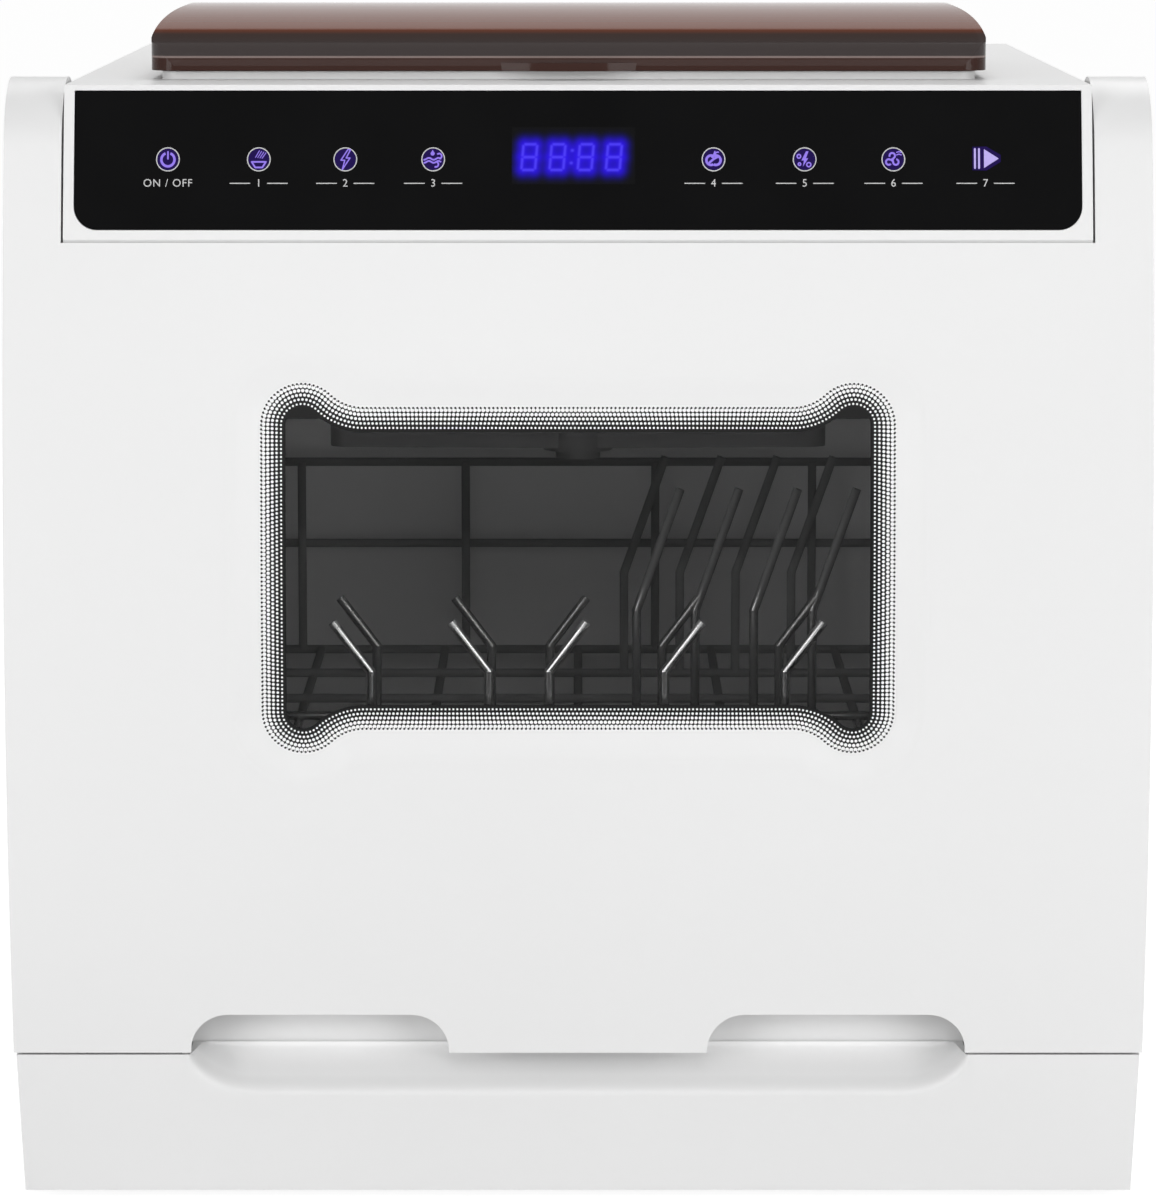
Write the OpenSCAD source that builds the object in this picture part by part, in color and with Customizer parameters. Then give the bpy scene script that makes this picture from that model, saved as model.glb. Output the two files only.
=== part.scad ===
// Countertop dishwasher with a flip-up front door, a fill lid on the deck and a water tank at the back.
// The origin is the centre of the footprint on the table, +Z is up and the door faces -Y.

/* [Body] */
// Overall width, across the door
body_w = 420; // [412:1:440]
// Overall depth, from the crown of the door to the rear panel
body_d = 420; // [414:1:440]
// Height of the deck above the table
deck_z = 417.5; // [414:0.5:422]
// Height of the seam between the base and the door
base_top = 58.8; // [56:0.2:62]
// Height of the cabinet's shoulder beside the head
shoulder_z = 396; // [392:1:402]
// Radius of the cabinet's shoulder corner
shoulder_r = 12; // [6:1:16]
// Radius of the crowned front, seen from the side
front_r = 800; // [780:5:900]
// Height of the foremost line of the front
crown_z = 194; // [180:1:210]
// Wall of the moulded covers
wall = 2.5; // [2:0.1:3]
// Gap at the seams between door, base and head
seam = 0.8; // [0.5:0.1:1]
// How far the base and the cabinet are set in from the door's sides
side_inset = 1; // [0.5:0.1:2]
// Slope of the base's sides, in degrees
base_draft = 1.4; // [0.5:0.1:2]
// Height of the rubber feet
foot_h = 4; // [3:0.5:6]
// Radius of the rubber feet
foot_r = 11; // [8:0.5:13]

/* [Door] */
// Depth of the door, from its crown to the parting plane
door_depth = 60; // [58:1:64]
// Wall of the door's outer shell
door_wall = 3; // [2.5:0.1:3.5]
// Height of the hinge axis
hinge_z = 388; // [385:0.5:390]
// Radius of the ears round the hinge axis
ear_r = 31.4; // [30:0.2:32]
// Width of each ear
ear_w = 21.2; // [18:0.2:22]
// Gap between an ear and the head
ear_gap = 0.8; // [0.6:0.2:3]
// Height of the seam under the control panel
panel_z = 361.8; // [360:0.2:364]
// Radius of the hinge pins
pin_r = 4; // [3.5:0.1:4.5]
// Radial running clearance of pins and shafts
run_gap = 0.06; // [0.02:0.01:0.1]
// Height of the door's lower web, over the finger pocket
web_z = 88; // [86:0.5:92]

/* [Window] */
// Width of the window
win_w = 232.8; // [220:1:240]
// Height of the window's straight lower edge
win_z0 = 182.7; // [178:0.5:190]
// Height of the window's straight upper edge
win_z1 = 301.7; // [296:0.5:304]
// Radius of the corner lobes
lobe_r = 15.7; // [14:0.1:18]
// Radius of the hollow blend beside a lobe
lobe_blend_r = 17; // [16:0.5:22]
// How far the corner lobes pass the straight edges
lobe_rise = 8.7; // [6:0.1:10]
// Width of the sloped dish round the window
dish_w = 10; // [8:0.5:11]
// Depth of the dish
dish_depth = 3; // [2:0.1:3.5]
// Thickness of the door's outer glass
glass_t = 3; // [2.5:0.1:4]
// Thickness of the door's inner glass
inner_glass_t = 3; // [2.5:0.1:4]

/* [Finger grip] */
// Distance from the centre to the inner end of each grip cut-out
grip_in = 48; // [40:1:56]
// Distance from the centre to the outer end of each grip cut-out
grip_out = 144; // [130:1:150]
// Height of the grip cut-outs
grip_h = 15.8; // [12:0.2:18]
// Corner radius of the grip cut-outs
grip_r = 14; // [8:0.5:15]
// Depth of the scoop in the base, behind the seam
scoop_depth = 22.5; // [20:0.5:25]
// Height of the scoop's floor
scoop_z = 42.6; // [40:0.2:46]
// Corner radius of the scoop
scoop_r = 12; // [8:0.5:14]

/* [Control panel] */
// White border beside the control glass
glass_side = 4; // [2:0.1:5]
// White border under the control glass
glass_below = 3.6; // [3:0.1:6]
// White border over the control glass
glass_above = 2.2; // [0.8:0.1:3]
// Thickness of the control glass
panel_glass_t = 2.2; // [1.5:0.1:2.4]
// Radius of the control glass's lower corners
panel_glass_r = 8.5; // [5:0.5:12]

/* [Lid] */
// Width of the fill lid
lid_w = 313; // [300:1:320]
// Depth of the fill lid
lid_d = 164; // [150:1:175]
// Sideways place of the lid, its seat and its well
lid_x = -3.5; // [-6:0.5:6]
// Deck in front of the lid
lid_front = 40; // [36:1:44]
// Height of the lid's crest above the deck
lid_rise = 26; // [22:0.5:27]
// Radius of the lid's crown
lid_crown_r = 260; // [240:5:320]
// Wall of the lid
lid_wall = 2.4; // [2:0.1:3]
// Radius of the lid's upper edges
lid_edge_r = 12; // [4:0.5:14]
// Height of the raised seat that the lid closes on
seat_h = 3; // [2:0.2:4]
// Width of the lid's finger tab
tab_w = 50; // [40:1:60]
// How far the finger tab stands forward
tab_reach = 5; // [3:0.5:7]
// Distance from the centre to the middle of each lid hinge
lid_hinge_x = 135; // [125:1:140]
// Width of each lid hinge
lid_hinge_w = 13.5; // [10:0.5:16]
// Radius of the lid hinges' round ends
lid_hinge_r = 6.4; // [5:0.2:6.8]
// Radius of the lid pins
lid_pin_r = 2; // [1.6:0.1:2.4]

/* [Tub] */
// Width of the stainless tub
tub_w = 330; // [320:1:336]
// Height of the tub's underside
tub_z0 = 104; // [102:0.5:108]
// Height of the tub's top
tub_z1 = 328; // [324:0.5:329]
// Height of the tub's corners' radius
tub_r = 22; // [16:1:28]
// Sheet thickness of the tub
tub_t = 1.5; // [1:0.1:2]
// Gap behind the tub, in front of the water tank
tub_back_gap = 6; // [4:0.5:10]
// Depth of the water tank
tank_d = 50; // [44:1:54]
// Width of the water tank
tank_w = 300; // [280:2:330]

/* [Rack] */
// Diameter of the rack's wires
wire_d = 3.6; // [3:0.1:4]
// Height of the rack's floor
rack_z = 165; // [160:1:170]
// Width of the rack
rack_w = 296; // [286:1:306]
// Depth of the rack
rack_d = 256; // [246:1:262]
// Height of the rack's rims above its floor
rack_rim = 78; // [70:1:84]
// Height of the short plate tines
short_tine_h = 47; // [40:1:52]
// Height of the tall plate tines
tall_tine_h = 90; // [80:1:98]

/* [Works] */
// Length of the lower spray arm
lower_arm_l = 268; // [240:2:280]
// Length of the upper spray arm
upper_arm_l = 200; // [180:2:220]
// Height of the lower spray arm's underside
lower_arm_z = 120; // [118:0.5:124]
// Radius of the sump cup
sump_r = 40; // [36:0.5:42]
// Radius of the filter cup
filter_r = 24; // [20:0.5:26]
// Radius of the drying fan's wheel
fan_r = 28; // [24:0.5:30]
// Radius of the pump motors
motor_r = 26; // [22:0.5:28]

/* [Hidden] */
$fn = 48;
FINE = 360;

WHITE = [0.93, 0.93, 0.93];
BLACK = [0.03, 0.03, 0.035];
GREY = [0.45, 0.46, 0.47];
STEEL = [0.72, 0.73, 0.75];
RUBBER = [0.08, 0.08, 0.08];
SMOKE = [0.35, 0.2, 0.16, 0.6];
CLEAR = [0.6, 0.65, 0.66, 0.4];
TOUCH = 0.3;
SLIP = 0.2;

// The crowned front, its seams and the hinge axis
front_cy = front_r - body_d / 2;
function front_y(z, inset = 0) = front_cy - sqrt(pow(front_r - inset, 2) - pow(z - crown_z, 2));
parting_y = door_depth - body_d / 2;
frame_y0 = parting_y + seam;
frame_y1 = frame_y0 + wall;
connector_l = 8;
rear_y = body_d / 2 - connector_l;
far = body_w + body_d;
pivot_y = front_cy - sqrt(pow(front_r - ear_r, 2) - pow(hinge_z - crown_z, 2));
tangent_deg = asin((hinge_z - crown_z) / (front_r - ear_r));
swing_r = norm([front_y(panel_z) - pivot_y, panel_z - hinge_z]);
notch_r = swing_r + seam;
door_z0 = base_top + seam;
head_x = body_w / 2 - ear_w - ear_gap;
cab_x = body_w / 2 - side_inset;
frame_top = hinge_z - swing_r;
deck_y0 = front_y(deck_z);

// The tub, the water tank behind it and the sump under it
tank_gap = 0.5;
tank_y1 = rear_y - wall - tank_gap;
tank_y0 = tank_y1 - tank_d;
tub_y0 = frame_y1;
tub_y1 = tank_y0 - tub_back_gap;
sump_set = 61;
sump_y = tub_y1 - sump_set;

// The window's outline, at an offset from its edge
win_z = (win_z0 + win_z1) / 2;
lobe_c = [win_w / 2 - lobe_r, (win_z1 - win_z0) / 2 + lobe_rise - lobe_r];
lobe_span = lobe_r + lobe_blend_r;
blend_c = [lobe_c[0] - sqrt(pow(lobe_span, 2) - pow(lobe_span - lobe_rise, 2)),
    (win_z1 - win_z0) / 2 + lobe_blend_r];
lobe_deg = atan2(blend_c[1] - lobe_c[1], blend_c[0] - lobe_c[0]);
LOBE_STEPS = 10;
function polar(c, r, a) = c + r * [cos(a), sin(a)];
function lobe_corner(d) = concat(
    [for (i = [0:LOBE_STEPS]) polar(lobe_c, lobe_r + d, lobe_deg * i / LOBE_STEPS)],
    [for (i = [1:LOBE_STEPS]) polar(blend_c, lobe_blend_r - d,
        (lobe_deg - 180) * (1 - i / LOBE_STEPS) - 90 * i / LOBE_STEPS)]);
function flip(p, sx, sz) = [for (q = p) [q[0] * sx, q[1] * sz]];
function backwards(p) = [for (i = [len(p) - 1:-1:0]) p[i]];
function lobed(d) = let (q = lobe_corner(d))
    concat(q, backwards(flip(q, -1, 1)), flip(q, -1, -1), backwards(flip(q, 1, -1)));

// Draws a (Y, Z) outline and extrudes it along X, centred on x
module across(w, x = 0)
    translate([x, 0, 0]) rotate([90, 0, 90]) linear_extrude(height = w, center = true) children();

// Draws an (X, Z) outline and extrudes it from y0 to y1
module along_y(y0, y1)
    translate([0, y1, 0]) rotate([90, 0, 0]) linear_extrude(height = y1 - y0) children();

// Draws an (X, Y) outline and extrudes it from z0 to z1
module upright(z0, z1) translate([0, 0, z0]) linear_extrude(height = z1 - z0) children();

// A plane rectangle between two corners
module span(a0, b0, a1, b1) translate([a0, b0]) square([a1 - a0, b1 - b0]);

// A plane rectangle between two corners, with round corners
module rounded(a0, b0, a1, b1, r) {
    span(a0 + r, b0, a1 - r, b1);
    span(a0, b0 + r, a1, b1 - r);
    for (a = [a0 + r, a1 - r], b = [b0 + r, b1 - r]) translate([a, b]) circle(r = r);
}

// A block between two corners
module block(p, q) translate(p) cube(q - p);

// A rod from p along one axis
module rod_x(p, l, r) translate(p) rotate([0, 90, 0]) cylinder(h = l, r = r);
module rod_y(p, l, r) translate(p) rotate([-90, 0, 0]) cylinder(h = l, r = r);
module rod_z(p, l, r) translate(p) cylinder(h = l, r = r);

// Both sides of the machine
module both_sides() {
    children();
    mirror([1, 0, 0]) children();
}

// The disc whose edge is the crowned front
module crown(inset = 0) translate([front_cy, crown_z]) circle(r = front_r - inset, $fn = 2 * FINE);

// The disc about the hinge axis
module hinge_disc(r) translate([pivot_y, hinge_z]) circle(r = r, $fn = FINE / 2);

// The window's outline as an (X, Z) shape
module window_shape(d) translate([0, win_z]) polygon(lobed(d));

// ---- Base ----
base_z0 = foot_h;
floor_z = base_z0 + wall;
scoop_y = front_y(base_top) + scoop_depth;
foot_side_set = 39;
foot_rear_set = 27;
foot_at = [for (x = [-1, 1], y = [parting_y, rear_y - foot_rear_set]) [x * (cab_x - foot_side_set), y]];
foot_pin_r = 4;
hatch_w = 190;
hatch_y = [-70, sump_y + sump_r + 8];
hatch_lap = 8;
hatch_t = 1.2;
hatch_pitch = 14;
HATCH_SLOTS = 4;
plate_z1 = floor_z + hatch_t;
post_r = 6;
post_side_set = 25;
post_at = [for (x = [-1, 1], y = [tub_y0 + 31.7, tub_y1 - 33]) [x * (tub_w / 2 - post_side_set), y]];
cradle_x = tank_w / 2 - 40;
cradle_t = 4;
tank_z0 = base_top + 6;
tank_z1 = frame_top - 1;
socket_set = 59;
inlet_at = [cab_x - socket_set, 32];
drain_at = [-54, 42];
socket_at = [-cab_x + socket_set, 34];
inlet_r = 13.15;
drain_r = 8.95;
collar_t = 2;
collar_gap = 0.05;
socket_w = 30;
socket_h = 22;

module base_outer(inset) {
    difference() {
        across(2 * (cab_x - inset)) intersection() {
            crown(inset);
            span(-body_d, base_z0 + (inset > 0 ? wall : 0), rear_y - inset, base_top + (inset > 0 ? 1 : 0));
        }
        both_sides() translate([cab_x - inset, 0, base_top]) rotate([0, base_draft, 0])
            translate([0, -body_d, -body_w / 2]) cube([wall * 4, body_d * 2, body_w / 2 + wall * 2]);
    }
}

module scoop_shape(grow) rounded(-grip_out - 1 - grow, scoop_z - grow, grip_out + 1 + grow,
    base_top + 2 * scoop_r + grow, scoop_r + grow);

module base_tray() color(WHITE) difference() {
    union() {
        difference() {
            base_outer(0);
            base_outer(wall);
        }
        intersection() {
            base_outer(0);
            along_y(-body_d / 2, scoop_y + wall) scoop_shape(wall);
        }
        for (p = post_at) rod_z([p[0], p[1], base_z0 + 1], tub_z0 - base_z0 - 1, post_r);
        both_sides() block([cradle_x - cradle_t / 2, tank_y0 + 2, base_z0 + 1],
            [cradle_x + cradle_t / 2, tank_y1, tank_z0]);
    }
    along_y(-body_d, scoop_y) scoop_shape(0);
    upright(base_z0 - 1, floor_z + 1) rounded(-hatch_w / 2, hatch_y[0], hatch_w / 2, hatch_y[1], 10);
    for (p = foot_at) rod_z([p[0], p[1], base_z0 - 1], wall + 2, foot_pin_r);
    rod_y([inlet_at[0], rear_y - wall - 1, inlet_at[1]], wall + 2, inlet_r + collar_t + collar_gap);
    rod_y([drain_at[0], rear_y - wall - 1, drain_at[1]], wall + 2, drain_r + collar_t + collar_gap);
    block([socket_at[0] - socket_w / 2, rear_y - wall - 1, socket_at[1] - socket_h / 2],
        [socket_at[0] + socket_w / 2, rear_y + 1, socket_at[1] + socket_h / 2]);
}

module bottom_plate() color(STEEL) difference() {
    upright(floor_z, plate_z1) rounded(-hatch_w / 2 - hatch_lap, hatch_y[0] - hatch_lap,
        hatch_w / 2 + hatch_lap, hatch_y[1] + hatch_lap, 10);
    for (i = [-HATCH_SLOTS:HATCH_SLOTS]) upright(base_z0, floor_z + 2) rounded(i * hatch_pitch - 2,
        sump_y - 25, i * hatch_pitch + 2, sump_y + 25, 1.9);
}

module rubber_feet() color(RUBBER) for (p = foot_at) {
    rod_z([p[0], p[1], 0], foot_h, foot_r);
    rod_z([p[0], p[1], foot_h], wall + 1, foot_pin_r);
}

// ---- Cabinet ----
panel_gap = 0.3;

module cabinet_ring(inset) rounded(-cab_x + inset, base_top - 2 * shoulder_r, cab_x - inset,
    shoulder_z - inset, shoulder_r - inset);

module side_panel() difference() {
    along_y(frame_y0, rear_y - wall) intersection() {
        difference() {
            cabinet_ring(0);
            cabinet_ring(wall);
        }
        span(head_x + panel_gap, base_top, cab_x, shoulder_z);
    }
    across(far) hinge_disc(ear_r + seam);
}

module side_panel_left() color(WHITE) mirror([1, 0, 0]) side_panel();
module side_panel_right() color(WHITE) side_panel();

vent_z = tub_z1 - 78;
VENT_SLOTS = 9;

module rear_panel() color(WHITE) difference() {
    along_y(rear_y - wall, rear_y) intersection() {
        cabinet_ring(0);
        span(-cab_x, base_top, cab_x, shoulder_z);
    }
    for (i = [0:VENT_SLOTS - 1]) along_y(rear_y - 2 * wall, rear_y + 1)
        rounded(-40, vent_z + 9 * i, 40, vent_z + 9 * i + 4, 1.9);
}

// ---- Head: the fixed panel and deck over the door ----
lid_y0 = deck_y0 + lid_front;
lid_y1 = lid_y0 + lid_d;
well_margin = 17;
well_x = lid_w / 2 - well_margin;
well_y0 = lid_y0 + well_margin;
well_y1 = lid_y1 - well_margin;
well_r = 6;
seat_in = 4;
glass_z0 = panel_z + glass_below;
glass_z1 = deck_z - glass_above;
glass_x = head_x - glass_side;
display_x = [-24.2, 20.9];
display_h = 24;
display_gap = 2;

// Places what belongs to the lid at its sideways place
module at_lid() translate([lid_x, 0, 0]) children();

module head_profile(inset, front_inset) intersection() {
    crown(front_inset);
    union() {
        intersection() {
            hinge_disc(swing_r - inset);
            span(-body_d, 0, pivot_y, deck_z - inset);
        }
        span(pivot_y, frame_top + inset, rear_y - wall - panel_gap - inset, deck_z - inset);
        if (inset > 0) span(frame_y1, frame_top - 1, rear_y - wall - panel_gap - inset, deck_z - inset);
        span(0, shoulder_z + panel_gap + inset, rear_y - inset, deck_z - inset);
    }
}

module glass_shape(grow) intersection() {
    rounded(-glass_x - grow, glass_z0 - grow, glass_x + grow, glass_z1 + 4 * panel_glass_r,
        panel_glass_r + grow);
    span(-glass_x - grow, glass_z0 - grow, glass_x + grow, glass_z1 + grow);
}

module glass_layer(inset0, inset1, grow) intersection() {
    across(body_w) difference() {
        crown(inset0);
        crown(inset1);
    }
    along_y(deck_y0 - 4 * wall - ear_r, deck_y0 + 4 * wall) glass_shape(grow);
}

module top_cover() color(WHITE) difference() {
    union() {
        difference() {
            across(2 * head_x) head_profile(0, 0);
            across(2 * (head_x - wall)) head_profile(wall, wall + panel_glass_t);
        }
        at_lid() upright(deck_z - 1, deck_z + seat_h) rounded(-lid_w / 2 + seat_in, lid_y0 + seat_in,
            lid_w / 2 - seat_in, lid_y1 - seat_in, well_r);
    }
    at_lid() upright(deck_z - 2 * wall, deck_z + seat_h + 1) rounded(-well_x, well_y0, well_x, well_y1,
        well_r);
    glass_layer(-1, panel_glass_t, 0.15);
    across(display_x[1] - display_x[0] + 2 * display_gap, (display_x[0] + display_x[1]) / 2)
        translate([front_y(board_z), board_z]) rotate(board_lean)
        span(-wall, -display_h / 2 - display_gap, board_set, display_h / 2 + display_gap);
    rod_x([-body_w / 2, pivot_y, hinge_z], body_w, bush_r - 1);
}

module control_glass() color(BLACK) glass_layer(0, panel_glass_t, 0);

board_z = (glass_z0 + glass_z1) / 2;
board_lean = -asin((board_z - crown_z) / front_r);
board_w = 2 * glass_x - 38;
board_h = 36;
board_t = 1.6;
board_set = wall + panel_glass_t + 9;

// Places a flat piece behind the control glass, leaning with it
module behind_glass(set) translate([0, front_y(board_z), board_z]) rotate([board_lean, 0, 0])
    translate([0, set, 0]) children();

module control_board() color("darkgreen") behind_glass(board_set) difference() {
    translate([-board_w / 2, 0, -board_h / 2]) cube([board_w, board_t, board_h]);
    for (x = [-board_w / 2 + 6, board_w / 2 - 6]) rod_y([x, -1, 0], board_t + 2, 1.6);
}

module display_module() color(BLACK) behind_glass(0) translate([0, panel_glass_t + 0.5, 0])
    translate([display_x[0], 0, -display_h / 2])
    cube([display_x[1] - display_x[0], board_set - panel_glass_t - 0.5, display_h]);

// ---- Front frame, tub and hinges ----
tub_in_x = tub_w / 2 - tub_t;
tub_in_z0 = tub_z0 + tub_t;
tub_in_z1 = tub_z1 - tub_t;
tub_flange = 7;
chin_x = grip_out + 14;
chin_z = web_z - 4;
hub_r = 11;
port_y = tub_y1 - 38;
port_z = tub_z1 - 96;
port_w = 26;
port_h = 14;
pipe_r = 6;
pipe_z = tub_in_z1 - 46;
magnet_w = 36;
magnet_h = 10;
magnet_d = 6;
magnet_z = base_top + 14;

module tub_opening(grow) rounded(-tub_in_x - grow, tub_in_z0 - grow, tub_in_x + grow, tub_in_z1 + grow,
    tub_r - tub_t + grow);

module front_frame() color(WHITE) difference() {
    union() {
        along_y(frame_y0, frame_y1) span(-cab_x + wall + panel_gap, base_top, cab_x - wall - panel_gap,
            frame_top);
        difference() {
            block([-chin_x, scoop_y, base_top], [chin_x, frame_y1, chin_z]);
            block([-chin_x + wall, scoop_y + wall, base_top - 1], [chin_x - wall, frame_y1 + 1,
                chin_z - wall]);
        }
        block([-magnet_w / 2 - wall, scoop_y, magnet_z - wall], [magnet_w / 2 + wall,
            scoop_y + magnet_d + wall, magnet_z + magnet_h + wall]);
    }
    along_y(frame_y0 - 1, frame_y1 + 1) tub_opening(0);
    block([-magnet_w / 2, scoop_y - 1, magnet_z], [magnet_w / 2, scoop_y + magnet_d,
        magnet_z + magnet_h]);
}

module catch_magnet() color(GREY) block([-magnet_w / 2, scoop_y, magnet_z],
    [magnet_w / 2, scoop_y + magnet_d, magnet_z + magnet_h]);

module tub() color(STEEL) difference() {
    union() {
        along_y(tub_y0, tub_y1) rounded(-tub_w / 2, tub_z0, tub_w / 2, tub_z1, tub_r);
        along_y(tub_y0, tub_y0 + tub_t) tub_opening(tub_flange);
    }
    along_y(tub_y0 - 1, tub_y1 - tub_t) tub_opening(0);
    rod_z([0, sump_y, tub_z0 - 1], tub_t + 2, sump_r - 4);
    rod_z([0, 0, tub_z0 - 1], tub_t + 2, hub_r);
    block([tub_in_x - 1, port_y - port_w / 2, port_z - port_h / 2],
        [tub_w / 2 + 1, port_y + port_w / 2, port_z + port_h / 2]);
    rod_y([0, tub_y1 - 2 * tub_t, pipe_z], 4 * tub_t, pipe_r);
}

beam_y = [parting_y + 10, parting_y + 44];
beam_x = head_x - wall - 1.5;
plate_t = 1.5;
plate_x = [beam_x - 34, beam_x - plate_t];
bush_r = 6.5;
bush_l = 3.4;
bracket_r = 12;

module hinge_beam() color(STEEL) difference() {
    block([-beam_x, beam_y[0], tub_z1], [beam_x, beam_y[1], frame_top]);
    block([-beam_x - 1, beam_y[0] + plate_t, tub_z1 - 1], [beam_x + 1, beam_y[1] - plate_t,
        frame_top - plate_t]);
}

module hinge_brackets() color(STEEL) both_sides() {
    block([plate_x[0], beam_y[0] + 2, frame_top], [plate_x[1] + plate_t, beam_y[1] - 2,
        frame_top + plate_t]);
    for (x = plate_x) difference() {
        across(plate_t, x + plate_t / 2) hull() {
            translate([pivot_y, hinge_z]) circle(r = bracket_r);
            span(beam_y[0] + 2, frame_top, beam_y[1] - 2, frame_top + plate_t);
        }
        rod_x([x - 1, pivot_y, hinge_z], plate_t + 2, bush_r);
    }
}

module hinge_bushes() color(GREY) both_sides() for (x = plate_x) difference() {
    union() {
        rod_x([x - (bush_l - plate_t) / 2, pivot_y, hinge_z], bush_l, bush_r);
        rod_x([x + (x == plate_x[0] ? plate_t : -1), pivot_y, hinge_z], 1, bush_r + 2);
    }
    rod_x([x - bush_l, pivot_y, hinge_z], 3 * bush_l, pin_r + run_gap);
}

// A round wire swept along a path; its section stands on the wire and on the X axis
function unit(v) = v / norm(v);
function tangent(p, i) = unit(p[min(i + 1, len(p) - 1)] - p[max(i - 1, 0)]);
module wire_path(p, r, sides = 8) {
    points = [for (i = [0:len(p) - 1], k = [0:sides - 1])
        let (n = unit(cross(tangent(p, i), [1, 0, 0])), b = unit(cross(n, tangent(p, i))))
        p[i] + r * (cos(360 * k / sides) * n + sin(360 * k / sides) * b)];
    last = (len(p) - 1) * sides;
    polyhedron(points, concat(
        [[for (k = [0:sides - 1]) k]],
        [for (i = [0:len(p) - 2], k = [0:sides - 1], h = [0, 1])
            let (a = i * sides + k, b = i * sides + (k + 1) % sides)
            h == 0 ? [a, a + sides, b] : [b, a + sides, b + sides]],
        [[for (k = [sides - 1:-1:0]) last + k]]));
}

spring_wire_r = 0.9;
spring_r = pin_r + TOUCH + spring_wire_r;
spring_turns = 5;
spring_pitch = 2.3 * spring_wire_r;
spring_x = plate_x[0] + 9;
SPRING_STEPS = 14;

module door_springs() color(STEEL) both_sides() wire_path(concat(
    [[spring_x, pivot_y - spring_r, frame_top + plate_t + spring_wire_r + TOUCH]],
    [for (i = [0:spring_turns * SPRING_STEPS]) let (a = 360 * i / SPRING_STEPS)
        [spring_x + spring_pitch * a / 360, pivot_y - spring_r * cos(a), hinge_z + spring_r * sin(a)]],
    [[spring_x + spring_pitch * spring_turns, pivot_y - spring_r + 1, hinge_z - 16]]), spring_wire_r, 6);

pin_x = [plate_x[0] - 3, body_w / 2 - 5];

module hinge_pins() color(STEEL) both_sides() rod_x([pin_x[0], pivot_y, hinge_z],
    pin_x[1] - pin_x[0], pin_r);

// ---- Door ----
ear_x = body_w / 2 - ear_w / 2;
liner_t = 2.5;
liner_y1 = parting_y - liner_t;
liner_y0 = liner_y1 - liner_t;
liner_z0 = web_z + wall + 0.4;
liner_z1 = hinge_z - notch_r - door_wall - 0.4;
liner_x = body_w / 2 - door_wall - 0.4;
liner_rim = 8;
glass_back = dish_depth + glass_t;
boss_w = 16;
flange_w = 14;
flange_in = 6;
tunnel_in = 2;
tunnel_t = 2.5;
inner_glass_lap = 7;
screw_r = 1.8;
screw_head_r = 3.6;
screw_head_h = 1.8;
screw_l = 12;
post_x = liner_x - 8;
post_z = [liner_z0 + 10, (liner_z0 + liner_z1) / 2, liner_z1 - 8];

// The side view in front of the parting plane and under the line where ear and crown are tangent
module front_part() polygon([[parting_y, hinge_z - (parting_y - pivot_y) * tan(tangent_deg)],
    [-body_d, hinge_z + (pivot_y + body_d) * tan(tangent_deg)], [-body_d, door_z0],
    [parting_y, door_z0]]);

module ear_profile() {
    intersection() {
        crown();
        front_part();
    }
    difference() {
        hinge_disc(ear_r);
        front_part();
    }
}

module door_profile(inset, z0, y1) intersection() {
    crown(inset);
    difference() {
        span(-body_d, z0, y1, hinge_z);
        hinge_disc(notch_r + inset);
    }
}

// The window's outline with more points down its straight sides, where the crown is bent
SIDE_STEPS = 6;
function side_points(d) = [for (i = [0:SIDE_STEPS - 1])
    [lobe_c[0] + lobe_r + d, lobe_c[1] * (i + 0.5) / SIDE_STEPS]];
function dish_outline(d) = let (q = concat(side_points(d), lobe_corner(d)))
    concat(q, backwards(flip(q, -1, 1)), flip(q, -1, -1), backwards(flip(q, 1, -1)));

// A ring of the dish's slope: share is 1 at its outer edge on the crown and 0 at the window's edge
function dish_ring(share) = let (set = dish_depth * (1 - share))
    [for (q = dish_outline(dish_w * share)) [q[0], front_y(win_z + q[1]) + set, win_z + q[1]]];

// The sloped dish: a ruled band that runs a little past both of its edges
module dish() {
    outer = 1.4;
    inner = -0.5;
    rings = concat(dish_ring(outer), dish_ring(inner));
    n = len(rings) / 2;
    points = concat(rings, [for (share = [outer, inner])
        [0, front_y(win_z) + dish_depth * (1 - share), win_z]]);
    polyhedron(points, concat(
        [for (i = [0:n - 1]) [i, (i + 1) % n + n, i + n]],
        [for (i = [0:n - 1]) [i, (i + 1) % n, (i + 1) % n + n]],
        [for (i = [0:n - 1]) [2 * n, (i + 1) % n, i]],
        [for (i = [0:n - 1]) [2 * n + 1, i + n, (i + 1) % n + n]]));
}

// A band of the crowned front between two depths, cut to the window's outline between two offsets
module window_band(inset0, inset1, d0, d1) intersection() {
    across(body_w) difference() {
        crown(inset0);
        crown(inset1);
    }
    along_y(-body_d / 2 - 1, parting_y) difference() {
        window_shape(d0);
        window_shape(d1);
    }
}

module door_shell() color(WHITE) difference() {
    union() {
        difference() {
            union() {
                across(body_w - 2 * ear_w) door_profile(0, door_z0, parting_y);
                both_sides() across(ear_w, ear_x) ear_profile();
            }
            across(body_w - 2 * door_wall) door_profile(door_wall, web_z + wall, parting_y + 1);
            across(body_w - 2 * door_wall) intersection() {
                crown(door_wall);
                span(-body_d, 0, parting_y + 1, web_z);
            }
        }
        window_band(door_wall - 1, glass_back, boss_w, -1);
        intersection() {
            across(body_w) crown(1);
            both_sides() for (z = post_z) rod_y([post_x, -body_d / 2, z], liner_y0 + body_d / 2,
                2 * screw_r + 0.6);
        }
    }
    along_y(-body_d, parting_y) window_shape(0);
    dish();
    both_sides() {
        along_y(-body_d, front_y(base_top) + 2 * door_wall) rounded(grip_in, base_top - 2 * grip_r,
            grip_out, base_top + grip_h, grip_r);
        rod_x([body_w / 2 - ear_w - 1, pivot_y, hinge_z], pin_x[1] - body_w / 2 + ear_w + 1, pin_r);
        for (z = post_z) rod_y([post_x, liner_y0 - screw_l, z], screw_l + 1, screw_r);
    }
}

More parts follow.
